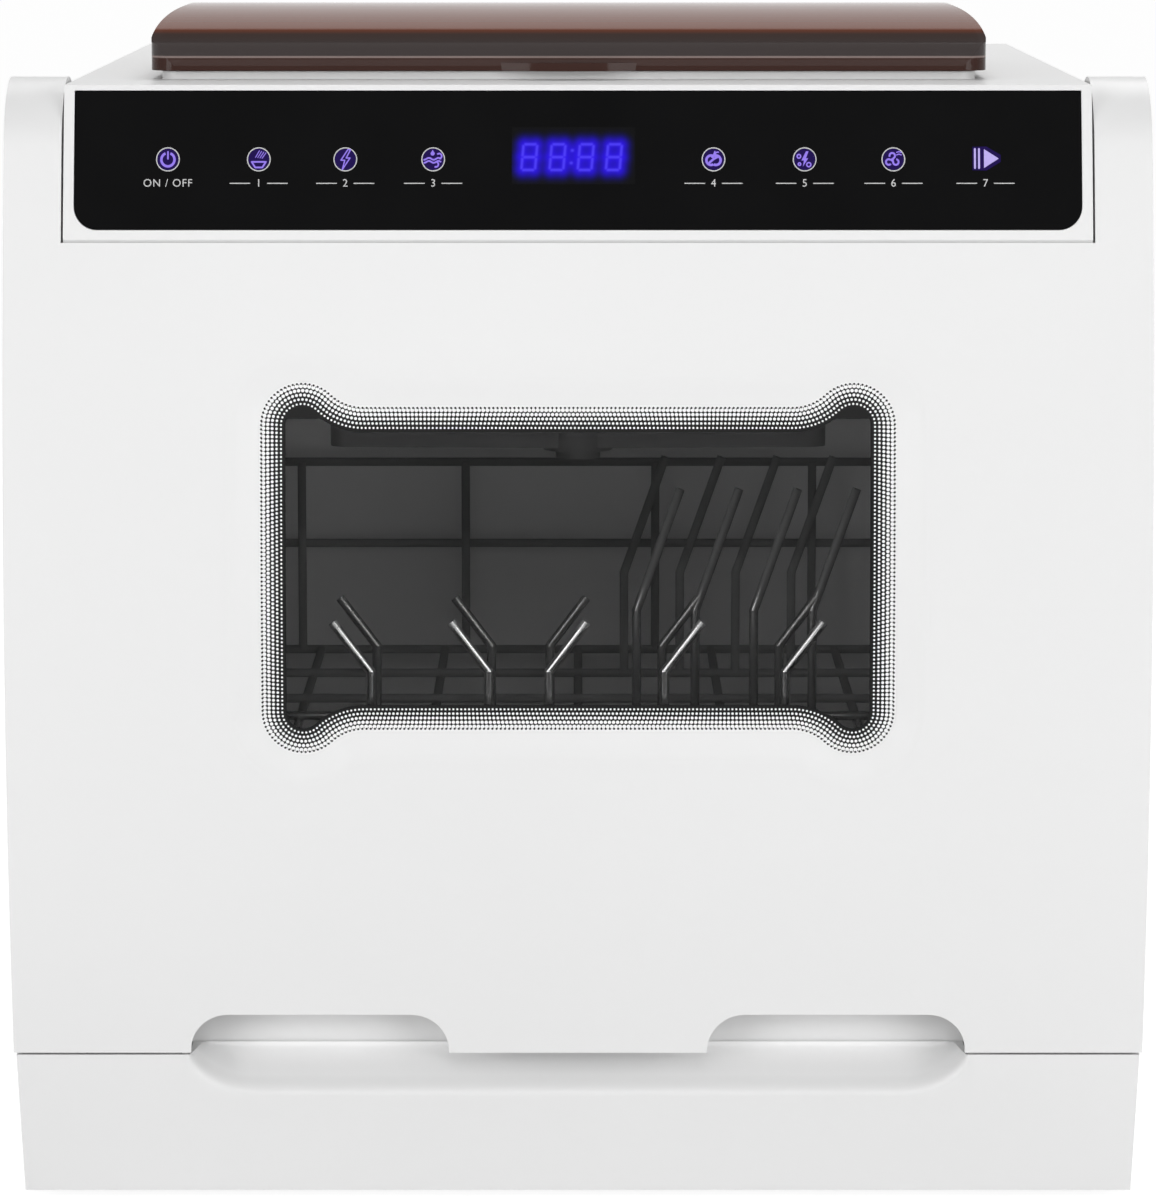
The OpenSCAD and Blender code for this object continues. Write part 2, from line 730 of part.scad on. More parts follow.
module door_glass() color(CLEAR) intersection() {
    across(body_w) difference() {
        crown(dish_depth);
        crown(glass_back);
    }
    along_y(-body_d / 2 - 1, parting_y) window_shape(-0.3);
}

module window_frame() color(BLACK) {
    window_band(glass_back + 0.1, glass_back + 0.1 + wall, flange_w, -flange_in);
    intersection() {
        across(body_w) crown(glass_back + 0.1 + wall / 2);
        along_y(-body_d / 2, liner_y0 - inner_glass_t - 0.1) difference() {
            window_shape(tunnel_in + tunnel_t);
            window_shape(tunnel_in);
        }
    }
}

module inner_glass() color(CLEAR) along_y(liner_y0 - inner_glass_t, liner_y0)
    window_shape(inner_glass_lap);

module door_liner() color(GREY) difference() {
    union() {
        along_y(liner_y0, liner_y1) span(-liner_x, liner_z0, liner_x, liner_z1);
        along_y(liner_y0 - liner_rim, liner_y0) difference() {
            span(-liner_x, liner_z0, liner_x, liner_z1);
            span(-liner_x + 2, liner_z0 + 2, liner_x - 2, liner_z1 - 2);
        }
    }
    along_y(liner_y0 - 1, liner_y1 + 1) window_shape(tunnel_in);
    both_sides() for (z = post_z) rod_y([post_x, liner_y0 - 1, z], liner_t + 2, screw_r);
}

module door_gasket() color(RUBBER) along_y(liner_y1, frame_y0 - TOUCH) difference() {
    tub_opening(10);
    tub_opening(4);
}

strike_t = 1.5;
strike_y1 = scoop_y - 1;
strike_w = 28;

module door_strike() color(STEEL) {
    block([-strike_w / 2, strike_y1 - strike_t, magnet_z], [strike_w / 2, strike_y1, web_z]);
    block([-strike_w / 2, strike_y1 - 12, web_z - strike_t], [strike_w / 2, strike_y1, web_z]);
}

module door_screws() color(STEEL) both_sides() for (z = post_z) {
    rod_y([post_x, liner_y0 - screw_l + 1, z], screw_l - 1 + liner_t, screw_r);
    rod_y([post_x, liner_y1, z], screw_head_h, screw_head_r);
}

// ---- Lid ----
lid_z0 = deck_z + seat_h + TOUCH;
lid_yc = (lid_y0 + lid_y1) / 2;
lid_crest = deck_z + lid_rise;
lid_corner_r = 10;
arm_t = 5;
arm_r = 4.6;
lid_axis = [lid_y1 + lid_hinge_r + 0.6, deck_z + 15.5];
arm_x = lid_hinge_x - lid_hinge_w / 2 - SLIP - arm_t / 2;
lid_pin_x = [arm_x - arm_t / 2 - 2, lid_hinge_x + lid_hinge_w / 2 - 2];
tab_r = (pow(tab_w / 2, 2) + pow(tab_reach, 2)) / (2 * tab_reach);
tab_t = 3;

module lid_profile(inset) intersection() {
    offset(r = lid_edge_r - inset, $fn = 64) offset(delta = -lid_edge_r) intersection() {
        translate([lid_yc, lid_crest - lid_crown_r]) circle(r = lid_crown_r, $fn = FINE);
        span(lid_y0, lid_z0 - 2 * lid_edge_r, lid_y1, lid_crest + 1);
    }
    span(lid_y0, lid_z0 - (inset > 0 ? 1 : 0), lid_y1, lid_crest + 1);
}

module lid_body(inset) intersection() {
    across(lid_w - 2 * inset) lid_profile(inset);
    upright(deck_z, lid_crest + 1) offset(r = lid_corner_r - inset, $fn = 64) offset(delta = -lid_corner_r)
        span(-lid_w / 2, lid_y0, lid_w / 2, lid_y1);
    along_y(lid_y0 - 1, lid_y1 + 1) offset(r = lid_edge_r - inset, $fn = 64) offset(delta = -lid_edge_r)
        span(-lid_w / 2, deck_z - 3 * lid_edge_r, lid_w / 2, lid_crest);
}

module fill_lid() color(SMOKE) at_lid() difference() {
    union() {
        difference() {
            lid_body(0);
            lid_body(lid_wall);
        }
        upright(lid_z0, lid_z0 + tab_t) intersection() {
            translate([0, lid_y0 - tab_reach + tab_r]) circle(r = tab_r, $fn = 96);
            span(-tab_w, lid_y0 - 2 * tab_reach, tab_w, lid_y0 + 1);
        }
        both_sides() across(arm_t, arm_x) hull() {
            translate(lid_axis) circle(r = arm_r);
            span(lid_y1 - lid_wall / 2, lid_z0, lid_y1, lid_z0 + 5);
        }
    }
    rod_x([-body_w / 2, lid_axis[0], lid_axis[1]], body_w, lid_pin_r + run_gap);
}

module lid_hinges() color(BLACK) at_lid() both_sides() difference() {
    across(lid_hinge_w, lid_hinge_x) hull() {
        translate(lid_axis) circle(r = lid_hinge_r);
        span(lid_axis[0] - lid_hinge_r, deck_z, lid_axis[0] + lid_hinge_r, deck_z + 1);
    }
    rod_x([lid_pin_x[0], lid_axis[0], lid_axis[1]], lid_pin_x[1] - lid_pin_x[0], lid_pin_r);
}

module lid_pins() color(STEEL) at_lid() both_sides() rod_x([lid_pin_x[0], lid_axis[0], lid_axis[1]],
    lid_pin_x[1] - lid_pin_x[0], lid_pin_r);

// ---- Fill well, duct and tank ----
well_t = 2;
well_z0 = deck_z - 13;
well_lip = 6;
drain_hole_r = 18;
duct_h = 20;
duct_x = drain_hole_r + 3;
tank_t = 2;
tank_r = 6;
tank_yc = (tank_y0 + tank_y1) / 2;
neck_r = 14;
spigot_r = 8;
spigot_l = 4;
bore_t = 2;
hose_z = 52;

module well_shape(grow) rounded(-well_x - grow, well_y0 - grow, well_x + grow, well_y1 + grow,
    well_r + grow);

module fill_well() color(WHITE) difference() {
    at_lid() {
        upright(well_z0, deck_z + seat_h) well_shape(-SLIP);
        upright(deck_z + seat_h, deck_z + seat_h + 1.5) well_shape(well_lip);
    }
    at_lid() upright(well_z0 + well_t, deck_z + seat_h + 2) well_shape(-SLIP - well_t);
    rod_z([0, lid_yc, well_z0 - 1], well_t + 2, drain_hole_r);
}

module fill_strainer() color(GREY) difference() {
    rod_z([0, lid_yc, well_z0 + well_t], 1.6, drain_hole_r + 4);
    for (i = [-4:4]) upright(well_z0, well_z0 + 2 * well_t + 2) translate([i * 3.6, lid_yc])
        span(-0.9, -sqrt(pow(drain_hole_r - 2, 2) - pow(i * 3.6, 2)), 0.9,
            sqrt(pow(drain_hole_r - 2, 2) - pow(i * 3.6, 2)));
}

module fill_duct() color(WHITE) difference() {
    block([-duct_x, lid_yc - duct_x, well_z0 - duct_h], [duct_x, tank_yc + neck_r + 3, well_z0]);
    block([-duct_x + wall, lid_yc - duct_x + wall, well_z0 - duct_h + wall],
        [duct_x - wall, tank_yc + neck_r + 3 - wall, well_z0 - wall]);
    rod_z([0, lid_yc, well_z0 - wall - 1], wall + 2, drain_hole_r);
    rod_z([0, tank_yc, well_z0 - duct_h - 1], wall + 2, neck_r - tank_t);
}

module water_tank() color([0.85, 0.87, 0.88, 0.8]) difference() {
    union() {
        upright(tank_z0, tank_z1) rounded(-tank_w / 2, tank_y0, tank_w / 2, tank_y1, tank_r);
        rod_z([0, tank_yc, tank_z1 - 1], well_z0 - duct_h - tank_z1 + 1, neck_r);
        rod_z([0, tank_yc, tank_z0 - spigot_l], spigot_l + 1, spigot_r);
    }
    upright(tank_z0 + tank_t, tank_z1 - tank_t) rounded(-tank_w / 2 + tank_t, tank_y0 + tank_t,
        tank_w / 2 - tank_t, tank_y1 - tank_t, tank_r - tank_t);
    rod_z([0, tank_yc, tank_z1 - 2 * tank_t], well_z0 - tank_z1, neck_r - tank_t);
    rod_z([0, tank_yc, tank_z0 - spigot_l - 1], spigot_l + 2 * tank_t, spigot_r - bore_t);
}

module tank_hose() color(RUBBER) {
    rod_z([0, tank_yc, hose_z], tank_z0 - spigot_l - hose_z, spigot_r);
    translate([0, tank_yc, hose_z]) sphere(r = spigot_r * 1.04);
    rod_y([0, sump_y + sump_r + 6, hose_z], tank_yc - sump_y - sump_r - 6, spigot_r);
}

// ---- Sump, pumps, heater and filters ----
sump_z0 = 40;
pump_z = 56;
volute_r = 30;
volute_l = 24;
motor_l = 58;
pump_bore_r = 7;
suction_r = 9;
suction_l = 8;
impeller_r = 22;
shaft_r = 3;
drain_z = 54;
drain_volute_r = 20;
drain_volute_l = 18;
drain_motor_r = 16;
drain_motor_l = 36;
drain_impeller_r = 13;
vane_t = 1.6;

module sump() color(GREY) difference() {
    union() {
        rod_z([0, sump_y, sump_z0], tub_z0 - sump_z0, sump_r);
        rod_z([0, sump_y, tub_z0 - 2], 2, sump_r + 6);
        rod_y([0, sump_y, hose_z], sump_r + 6, spigot_r);
        rod_y([0, sump_y - sump_r - suction_l, pump_z], sump_r + suction_l, suction_r);
        rod_x([-sump_r - 5, sump_y, drain_z], sump_r + 5, spigot_r);
    }
    rod_z([0, sump_y, sump_z0 + wall], tub_z0, sump_r - wall);
    rod_y([0, sump_y, hose_z], sump_r + 7, spigot_r - bore_t);
    rod_y([0, sump_y - sump_r - suction_l - 1, pump_z], sump_r + suction_l + 1, pump_bore_r);
    rod_x([-sump_r - 6, sump_y, drain_z], sump_r + 6, spigot_r - bore_t);
    for (y = [-8, 8]) rod_x([0, sump_y + y, heater_z], sump_r + 1, heater_wire_r);
}

heater_r = 31;
heater_wire_r = 2.8;
heater_z = sump_z0 + wall + 5;

module heater() color(STEEL) {
    translate([0, sump_y, heater_z]) rotate_extrude($fn = 96) translate([heater_r, 0])
        circle(r = heater_wire_r);
    for (y = [-8, 8]) rod_x([heater_r - 2, sump_y + y, heater_z], sump_r - heater_r + 10,
        heater_wire_r - 0.3);
}

module filter_plate() color(STEEL) difference() {
    rod_z([0, sump_y, tub_in_z0], 1.2, sump_r + 6);
    rod_z([0, sump_y, tub_in_z0 - 1], 4, filter_r + 0.4);
    for (ring = [[29.5, 28], [33.5, 32]], i = [0:ring[1] - 1]) rotate_about(360 * i / ring[1])
        rod_z([ring[0], sump_y, tub_in_z0 - 1], 4, 1.2);
}

// Turns a shape round the sump's axis
module rotate_about(a) translate([0, sump_y, 0]) rotate([0, 0, a]) translate([0, -sump_y, 0]) children();

cup_z0 = sump_z0 + wall + 14;
cup_top = tub_in_z0 + 1.2 + TOUCH;

module filter_cup() color(GREY) difference() {
    union() {
        rod_z([0, sump_y, cup_z0], cup_top - cup_z0 + 1, filter_r);
        rod_z([0, sump_y, cup_top], 1.6, filter_r + 2.6);
        block([-2, sump_y - 14, cup_top + 1], [2, sump_y + 14, cup_top + 8]);
    }
    rod_z([0, sump_y, cup_z0 + 2], cup_top - cup_z0 - 1, filter_r - 1.6);
    for (a = [0:30:330]) rotate_about(a) block([filter_r - 4, sump_y - 3, cup_z0 + 8],
        [filter_r + 4, sump_y + 3, cup_z0 + 34]);
}

module circulation_pump() color(GREY) difference() {
    union() {
        rod_y([0, -volute_l / 2, pump_z], volute_l, volute_r);
        rod_y([0, -volute_l / 2 - motor_l, pump_z], motor_l + 1, motor_r);
        rod_y([0, volute_l / 2 - 1, pump_z], suction_l + 1, suction_r);
        rod_z([0, 0, pump_z], tub_z0 - 8 - pump_z, spigot_r);
        for (y = [-volute_l / 2 - motor_l + 8, -volute_l / 2 - 16]) block([-10, y, plate_z1], [10, y + 6,
            pump_z]);
    }
    rod_y([0, -volute_l / 2 + wall, pump_z], volute_l - 2 * wall, volute_r - wall);
    rod_y([0, 0, pump_z], volute_l / 2 + suction_l + 1, pump_bore_r);
    rod_z([0, 0, pump_z], tub_z0 - pump_z, spigot_r - bore_t);
    rod_y([0, -volute_l / 2 - 30, pump_z], 40, shaft_r + run_gap);
}

// A disc with straight vanes and a shaft, turning about the Y axis
module impeller_y(r, disc_t, vane_h, shaft_l) {
    rod_y([0, 0, 0], disc_t, r);
    rod_y([0, -shaft_l, 0], shaft_l + 1, shaft_r);
    along_y(disc_t - 1, disc_t + vane_h) {
        circle(r / 3);
        for (a = [0:60:300]) rotate(a) translate([0, -vane_t / 2]) square([r - 1, vane_t]);
    }
}

module pump_impeller() color(BLACK) translate([0, -volute_l / 2 + wall + 1.5, pump_z])
    impeller_y(impeller_r, 2.5, 8, 28);

module suction_hose() color(RUBBER) difference() {
    rod_y([0, volute_l / 2 + 2, pump_z], sump_y - sump_r - volute_l / 2 - 3, suction_r + 2);
    rod_y([0, 0, pump_z], sump_y - sump_r, suction_r);
}

drain_x1 = -sump_r - 5;

module drain_pump() color(GREY) difference() {
    union() {
        rod_x([drain_x1 - drain_volute_l, sump_y, drain_z], drain_volute_l, drain_volute_r);
        rod_x([drain_x1 - drain_volute_l - drain_motor_l, sump_y, drain_z], drain_motor_l + 1,
            drain_motor_r);
        rod_y([drain_x1 - drain_volute_l / 2, sump_y, drain_at[1]], drain_volute_r + 14, drain_r - 2);
        block([drain_x1 - drain_volute_l - 30, sump_y - 8, plate_z1],
            [drain_x1 - drain_volute_l - 10, sump_y + 8, drain_z]);
    }
    rod_x([drain_x1 - drain_volute_l + wall, sump_y, drain_z], drain_volute_l - 2 * wall,
        drain_volute_r - wall);
    rod_x([drain_x1 - drain_volute_l / 2, sump_y, drain_z], drain_volute_l, spigot_r - bore_t);
    rod_y([drain_x1 - drain_volute_l / 2, sump_y, drain_at[1]], drain_volute_r + 15, drain_r - 4);
    rod_x([drain_x1 - drain_volute_l - 20, sump_y, drain_z], 30, shaft_r + run_gap);
}

module drain_impeller() color(BLACK) translate([drain_x1 - drain_volute_l + wall + 1.5, sump_y, drain_z])
    rotate([0, 0, -90]) impeller_y(drain_impeller_r, 2, 6, 18);

module drain_hose() color(RUBBER) difference() {
    rod_y([drain_at[0], sump_y + drain_volute_r + 4, drain_at[1]],
        rear_y - wall - 10 - sump_y - drain_volute_r, drain_r + 1);
    rod_y([drain_at[0], sump_y + drain_volute_r + 3, drain_at[1]], 11, drain_r - 2);
    rod_y([drain_at[0], rear_y - wall - 14, drain_at[1]], 9, drain_r - 2);
}

// ---- Spray arms ----
arm_post_r = 8;
arm_hub_r = 14;
arm_h = 12;
nut_h = 4;
arm_end_r = 7;
nozzle_r = 1.2;
NOZZLES = 5;

// A tapered two-ended arm on the Z axis with a running bore and nozzles, its underside at z = 0
module spray_arm(l, post_r) difference() {
    union() {
        rod_z([0, 0, 0], arm_h, arm_hub_r);
        upright(1.5, arm_h - 1.5) for (s = [-1, 1]) hull() {
            circle(r = arm_hub_r - 2);
            translate([s * (l / 2 - arm_end_r), 0]) circle(r = arm_end_r);
        }
    }
    rod_z([0, 0, -1], arm_h + 2, post_r + run_gap);
    for (s = [-1, 1], i = [1:NOZZLES])
        rod_z([s * (arm_hub_r + (l / 2 - arm_hub_r - arm_end_r) * i / NOZZLES), (i % 2) * 4 - 2, 4],
            arm_h, nozzle_r);
}

module spray_hub() color(GREY) difference() {
    union() {
        rod_z([0, 0, tub_z0 - 8], lower_arm_z - tub_z0 + 7, hub_r - SLIP);
        rod_z([0, 0, tub_in_z0], 3, hub_r + 5);
        rod_z([0, 0, lower_arm_z - 2], arm_h + 3, arm_post_r);
        rod_z([0, 0, lower_arm_z + arm_h + TOUCH], nut_h, arm_post_r + 4);
    }
    rod_z([0, 0, tub_z0 - 9], lower_arm_z + arm_h - tub_z0 + 9, spigot_r - bore_t);
}

module lower_spray_arm() color(GREY) translate([0, 0, lower_arm_z]) spray_arm(lower_arm_l, arm_post_r);

upper_arm_z = pipe_z - 18;

module upper_feed_pipe() color(GREY) {
    rod_y([0, 0, pipe_z], tub_y1 + 3, pipe_r - SLIP);
    rod_z([0, 0, upper_arm_z + arm_h + TOUCH], pipe_z - upper_arm_z - arm_h + pipe_r, pipe_r + 3);
    rod_z([0, 0, upper_arm_z - 1], arm_h + 3, pipe_r);
    rod_z([0, 0, upper_arm_z - TOUCH - 3], 3, pipe_r + 3);
}

module upper_spray_arm() color(GREY) translate([0, 0, upper_arm_z]) spray_arm(upper_arm_l, pipe_r);

// ---- Drying fan, electrics and connectors ----
duct_side_gap = 8.5;
fan_at = [cab_x - 51, port_y - 55];
fan_h = 34;
fan_z0 = floor_z + 5;
fan_wall = 2;
duct_port_x = [tub_w / 2 + 1.5, cab_x - wall - duct_side_gap];
duct_y = [port_y - 17, port_y + 17];
duct_z1 = port_z + 12;
power_x = [-cab_x + 13, -cab_x + 81];
power_y = [-66, 50];
power_h = 34;

module fan_housing() color(GREY) difference() {
    union() {
        rod_z([fan_at[0], fan_at[1], fan_z0], fan_h, fan_r + 6);
        block([fan_at[0] + 12, fan_at[1], fan_z0], [fan_at[0] + fan_r + 6, duct_y[0], fan_z0 + fan_h]);
        rod_z([fan_at[0], fan_at[1], floor_z], fan_z0 - floor_z + 1, 10);
    }
    rod_z([fan_at[0], fan_at[1], fan_z0 + fan_wall], fan_h - 2 * fan_wall, fan_r + 6 - fan_wall);
    block([fan_at[0] + 12 + fan_wall, fan_at[1], fan_z0 + fan_wall], [fan_at[0] + fan_r + 6 - fan_wall,
        duct_y[0] + 1, fan_z0 + fan_h - fan_wall]);
    rod_z([fan_at[0], fan_at[1], fan_z0 + fan_wall], fan_h, fan_r - 8);
    rod_z([fan_at[0], fan_at[1], floor_z + 1], fan_h, shaft_r + run_gap);
}

module fan_wheel() color(BLACK) translate([fan_at[0], fan_at[1], fan_z0 + fan_wall + 2]) {
    rod_z([0, 0, 0], 2, fan_r);
    rod_z([0, 0, 1], 12, 9);
    rod_z([0, 0, -fan_wall - 5], fan_wall + 6, shaft_r);
    for (a = [0:20:340]) rotate([0, 0, a]) block([fan_r - 9, -0.7, 1], [fan_r - 0.5, 0.7, fan_h - 10]);
}

module air_duct() color(WHITE) difference() {
    union() {
        block([duct_port_x[0], duct_y[0], fan_z0], [duct_port_x[1], duct_y[1], duct_z1]);
        block([tub_w / 2, duct_y[0] + 2, port_z - port_h / 2 - 3], [duct_port_x[0] + 1, duct_y[1] - 2,
            duct_z1]);
    }
    block([duct_port_x[0] + wall, duct_y[0] + wall, fan_z0 + wall], [duct_port_x[1] - wall,
        duct_y[1] - wall, duct_z1 - wall]);
    block([duct_port_x[0] + wall, duct_y[0] - 1, fan_z0 + wall], [duct_port_x[1] - wall,
        duct_y[0] + wall + 1, fan_z0 + fan_h - wall]);
    block([tub_w / 2 - 1, port_y - port_w / 2, port_z - port_h / 2], [duct_port_x[0] + wall + 1,
        port_y + port_w / 2, port_z + port_h / 2]);
}

module power_box() color(BLACK) difference() {
    block([power_x[0], power_y[0], floor_z], [power_x[1], power_y[1], floor_z + power_h]);
    block([power_x[0] + 2, power_y[0] + 2, floor_z + 2], [power_x[1] - 2, power_y[1] - 2,
        floor_z + power_h - 2]);
    for (y = [power_y[0] + 12:12:power_y[1] - 12]) block([power_x[0] + 10, y, floor_z + power_h - 3],
        [power_x[1] - 10, y + 4, floor_z + power_h + 1]);
}

module power_board() color("darkgreen") {
    block([power_x[0] + 4, power_y[0] + 4, floor_z + 6], [power_x[1] - 4, power_y[1] - 4, floor_z + 7.6]);
    for (y = [26:32:90]) block([power_x[0] + 16, power_y[0] + y, floor_z + 7.6],
        [power_x[0] + 36, power_y[0] + y + 18, floor_z + 24]);
    for (x = [power_x[0] + 10, power_x[1] - 10], y = [power_y[0] + 10, power_y[1] - 10])
        rod_z([x, y, floor_z + 2], 5, 2.5);
}

// A spigot outside the base's rear wall, with a collar through the wall and a tail inside
module connector(at, r, tail_l, tail_r) difference() {
    union() {
        rod_y([at[0], rear_y, at[1]], connector_l, r);
        rod_y([at[0], rear_y - wall - 1, at[1]], wall + 1, r + collar_t);
        rod_y([at[0], rear_y - wall - 3, at[1]], 3, r + 2 * collar_t);
        rod_y([at[0], rear_y - wall - tail_l, at[1]], tail_l, tail_r);
    }
    rod_y([at[0], rear_y - wall - tail_l - 1, at[1]], tail_l + wall + connector_l + 2, tail_r - bore_t);
}

module water_connectors() color(GREY) {
    connector(inlet_at, inlet_r, 14, inlet_r - 3);
    connector(drain_at, drain_r, 13, drain_r - 2.2);
}

module power_inlet() color(BLACK) difference() {
    union() {
        block([socket_at[0] - socket_w / 2 + 0.1, rear_y - 24, socket_at[1] - socket_h / 2 + 0.1],
            [socket_at[0] + socket_w / 2 - 0.1, rear_y, socket_at[1] + socket_h / 2 - 0.1]);
        block([socket_at[0] - socket_w / 2 - 5, rear_y, socket_at[1] - socket_h / 2 - 3],
            [socket_at[0] + socket_w / 2 + 5, rear_y + 2, socket_at[1] + socket_h / 2 + 3]);
    }
    block([socket_at[0] - socket_w / 2 + 3, rear_y - 18, socket_at[1] - socket_h / 2 + 3],
        [socket_at[0] + socket_w / 2 - 3, rear_y + 3, socket_at[1] + socket_h / 2 - 3]);
    for (x = [-7, 0, 7]) block([socket_at[0] + x - 1, rear_y - 22, socket_at[1] - 2],
        [socket_at[0] + x + 1, rear_y - 17, socket_at[1] + 2]);
}

// ---- Rack ----
wire_r = wire_d / 2;
rack_x = rack_w / 2;
rack_front_gap = 5.7;
rack_y0 = tub_y0 + rack_front_gap;
rack_y1 = rack_y0 + rack_d;
lap = 0.75 * wire_d;
rack_under = rack_z - lap - wire_r;
rail_lap = 4.5;
rail_t = 1.5;
rail_drop = 10;
rear_posts = [-118, -48, 33, 100];
cross_y = [for (step = [6, 70, 112, 176]) rack_y0 + step];
along_x = [-110, -57, 0, 57, 110];
side_y = [for (step = [41, 121, 201]) rack_y0 + step];
short_x = [-79, -34, -11, 33, 79];
tall_x = [23, 46, 69, 92];
rim_gap = 35;
lean_deg = 37;
short_bend = 28;
tall_lean_deg = 19.5;
tall_bend = 42;

// A wire that stands up from the floor and leans over from a bend; lean is positive towards +X
module tine(x, y, bend, top, lean) translate([x, y, rack_z]) {
    cylinder(h = bend, r = wire_r);
    translate([0, 0, bend]) {
        sphere(r = wire_r * 1.04);
        rotate([0, lean, 0]) cylinder(h = (top - bend) / cos(lean), r = wire_r);
    }
}

// A rectangular hoop of wire with ball corners
module hoop(x, y0, y1, z, front = true) {
    for (s = [-1, 1]) rod_y([s * x, y0, z], y1 - y0, wire_r);
    for (y = front ? [y0, y1] : [y1]) rod_x([-x, y, z], 2 * x, wire_r);
    for (s = [-1, 1], y = [y0, y1]) translate([s * x, y, z]) sphere(r = wire_r * 1.04);
}

module dish_rack() color(STEEL) {
    hoop(rack_x, rack_y0, rack_y1, rack_z - lap);
    for (z = [rack_z + rack_rim - rim_gap, rack_z + rack_rim])
        hoop(rack_x + lap, rack_y0, rack_y1 + lap, z, false);
    for (y = cross_y) rod_x([-rack_x, y, rack_z], 2 * rack_x, wire_r);
    for (x = along_x) rod_y([x, rack_y0, rack_z - lap], rack_d, wire_r);
    for (x = rear_posts) rod_z([x, rack_y1, rack_z - lap], rack_rim + lap, wire_r);
    for (s = [-1, 1], y = side_y) rod_z([s * rack_x, y, rack_z - lap], rack_rim + lap, wire_r);
    for (s = [-1, 1]) rod_z([s * (rack_x + lap), rack_y0, rack_z - lap], rack_rim + lap, wire_r);
    for (x = short_x, y = [cross_y[0], cross_y[1]])
        tine(x, y, short_bend, short_tine_h, x < -20 ? -lean_deg : lean_deg);
    for (x = tall_x, y = [cross_y[1], cross_y[3]])
        tine(x + (y == cross_y[1] ? 0 : -4), y, tall_bend, tall_tine_h, tall_lean_deg);
}

module rack_rails() color(STEEL) both_sides() {
    block([rack_x - rail_lap, rack_y0 + 4, rack_under - TOUCH - rail_t], [tub_in_x, rack_y1,
        rack_under - TOUCH]);
    block([tub_in_x - rail_t, rack_y0 + 4, rack_under - rail_drop], [tub_in_x, rack_y1,
        rack_under - TOUCH]);
}

basket_l = 120;
basket_w = 22;
basket_h = 70;
basket_x = -rack_x + wire_r + 1;
basket_y = rack_y0 + 81;

module cutlery_basket() color(GREY) difference() {
    block([basket_x, basket_y, rack_z + wire_r + TOUCH], [basket_x + basket_w, basket_y + basket_l,
        rack_z + basket_h]);
    for (i = [0:2]) block([basket_x + 1.6, basket_y + 1.6 + i * (basket_l - 1.6) / 3, rack_z + wire_r + 2],
        [basket_x + basket_w - 1.6, basket_y + (i + 1) * (basket_l - 1.6) / 3, rack_z + basket_h + 1]);
    for (i = [0:11], z = [rack_z + 12, rack_z + 38]) block([basket_x - 1, basket_y + 4.5 + i * 9.6, z],
        [basket_x + basket_w + 1, basket_y + 8.5 + i * 9.6, z + 18]);
}

// ---- Screws of the rear panel ----
rear_screw_set = 17;
rear_screw_at = [for (x = [-1, 1], z = [base_top + 16, vent_z - 20, shoulder_z - 24])
    [x * (cab_x - rear_screw_set), z]];

module cover_screws() color(STEEL) for (p = rear_screw_at) rod_y([p[0], rear_y, p[1]], screw_head_h,
    screw_head_r);

base_tray();
bottom_plate();
rubber_feet();
side_panel_left();
side_panel_right();
rear_panel();
top_cover();
control_glass();
control_board();
display_module();
front_frame();
tub();
hinge_beam();
hinge_brackets();
hinge_bushes();
door_springs();
door_shell();
door_glass();
window_frame();
inner_glass();
door_liner();
door_gasket();
door_strike();
hinge_pins();
door_screws();
catch_magnet();
fill_lid();
lid_hinges();
lid_pins();
fill_well();
fill_strainer();
fill_duct();
water_tank();
tank_hose();
sump();
filter_plate();
filter_cup();
heater();
circulation_pump();
pump_impeller();
suction_hose();
drain_pump();
drain_impeller();
drain_hose();
spray_hub();
lower_spray_arm();
upper_feed_pipe();
upper_spray_arm();
fan_housing();
fan_wheel();
air_duct();
power_box();
power_board();
water_connectors();
power_inlet();
dish_rack();
rack_rails();
cutlery_basket();
cover_screws();
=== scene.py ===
import math

import bmesh
import bpy
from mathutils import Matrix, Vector


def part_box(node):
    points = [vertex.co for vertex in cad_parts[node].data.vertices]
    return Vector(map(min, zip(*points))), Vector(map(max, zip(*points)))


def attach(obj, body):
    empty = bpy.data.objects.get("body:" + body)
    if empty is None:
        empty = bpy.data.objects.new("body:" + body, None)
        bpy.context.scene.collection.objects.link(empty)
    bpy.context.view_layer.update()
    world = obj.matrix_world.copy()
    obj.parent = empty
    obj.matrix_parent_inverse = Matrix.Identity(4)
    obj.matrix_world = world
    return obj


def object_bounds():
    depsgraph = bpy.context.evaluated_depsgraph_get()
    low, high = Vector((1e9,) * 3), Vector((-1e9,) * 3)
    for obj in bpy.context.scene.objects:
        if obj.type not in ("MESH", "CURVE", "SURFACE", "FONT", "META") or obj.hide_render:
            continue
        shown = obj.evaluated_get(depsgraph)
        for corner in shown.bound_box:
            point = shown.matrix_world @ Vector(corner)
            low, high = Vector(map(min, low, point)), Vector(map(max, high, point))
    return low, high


# Looks of a countertop dishwasher: finishes, prints and small details round its fixed frame.
# Lengths are in metres, apart from the glyphs' points, which are in millimetres.
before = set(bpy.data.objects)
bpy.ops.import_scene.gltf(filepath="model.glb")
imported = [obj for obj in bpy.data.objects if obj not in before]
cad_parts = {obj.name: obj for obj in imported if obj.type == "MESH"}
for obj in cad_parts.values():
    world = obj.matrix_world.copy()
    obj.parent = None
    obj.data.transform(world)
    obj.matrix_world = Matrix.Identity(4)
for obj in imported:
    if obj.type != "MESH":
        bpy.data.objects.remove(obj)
CAD_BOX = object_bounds()

# ---- Driving sizes ----
CROWN_R = 0.8                                     # radius of the crowned front
CROWN_Z = 0.194                                   # height of its foremost line
CROWN_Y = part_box("door_shell")[0].y + CROWN_R     # its centre
GLASS_SET = 0.003                                 # how far the door glass sits behind the crown
PRINT_LIFT = 0.00006                              # how far an ink layer stands off its glass
SKIN_LIFT = 0.00008                               # how far a thin skin stands off its wall

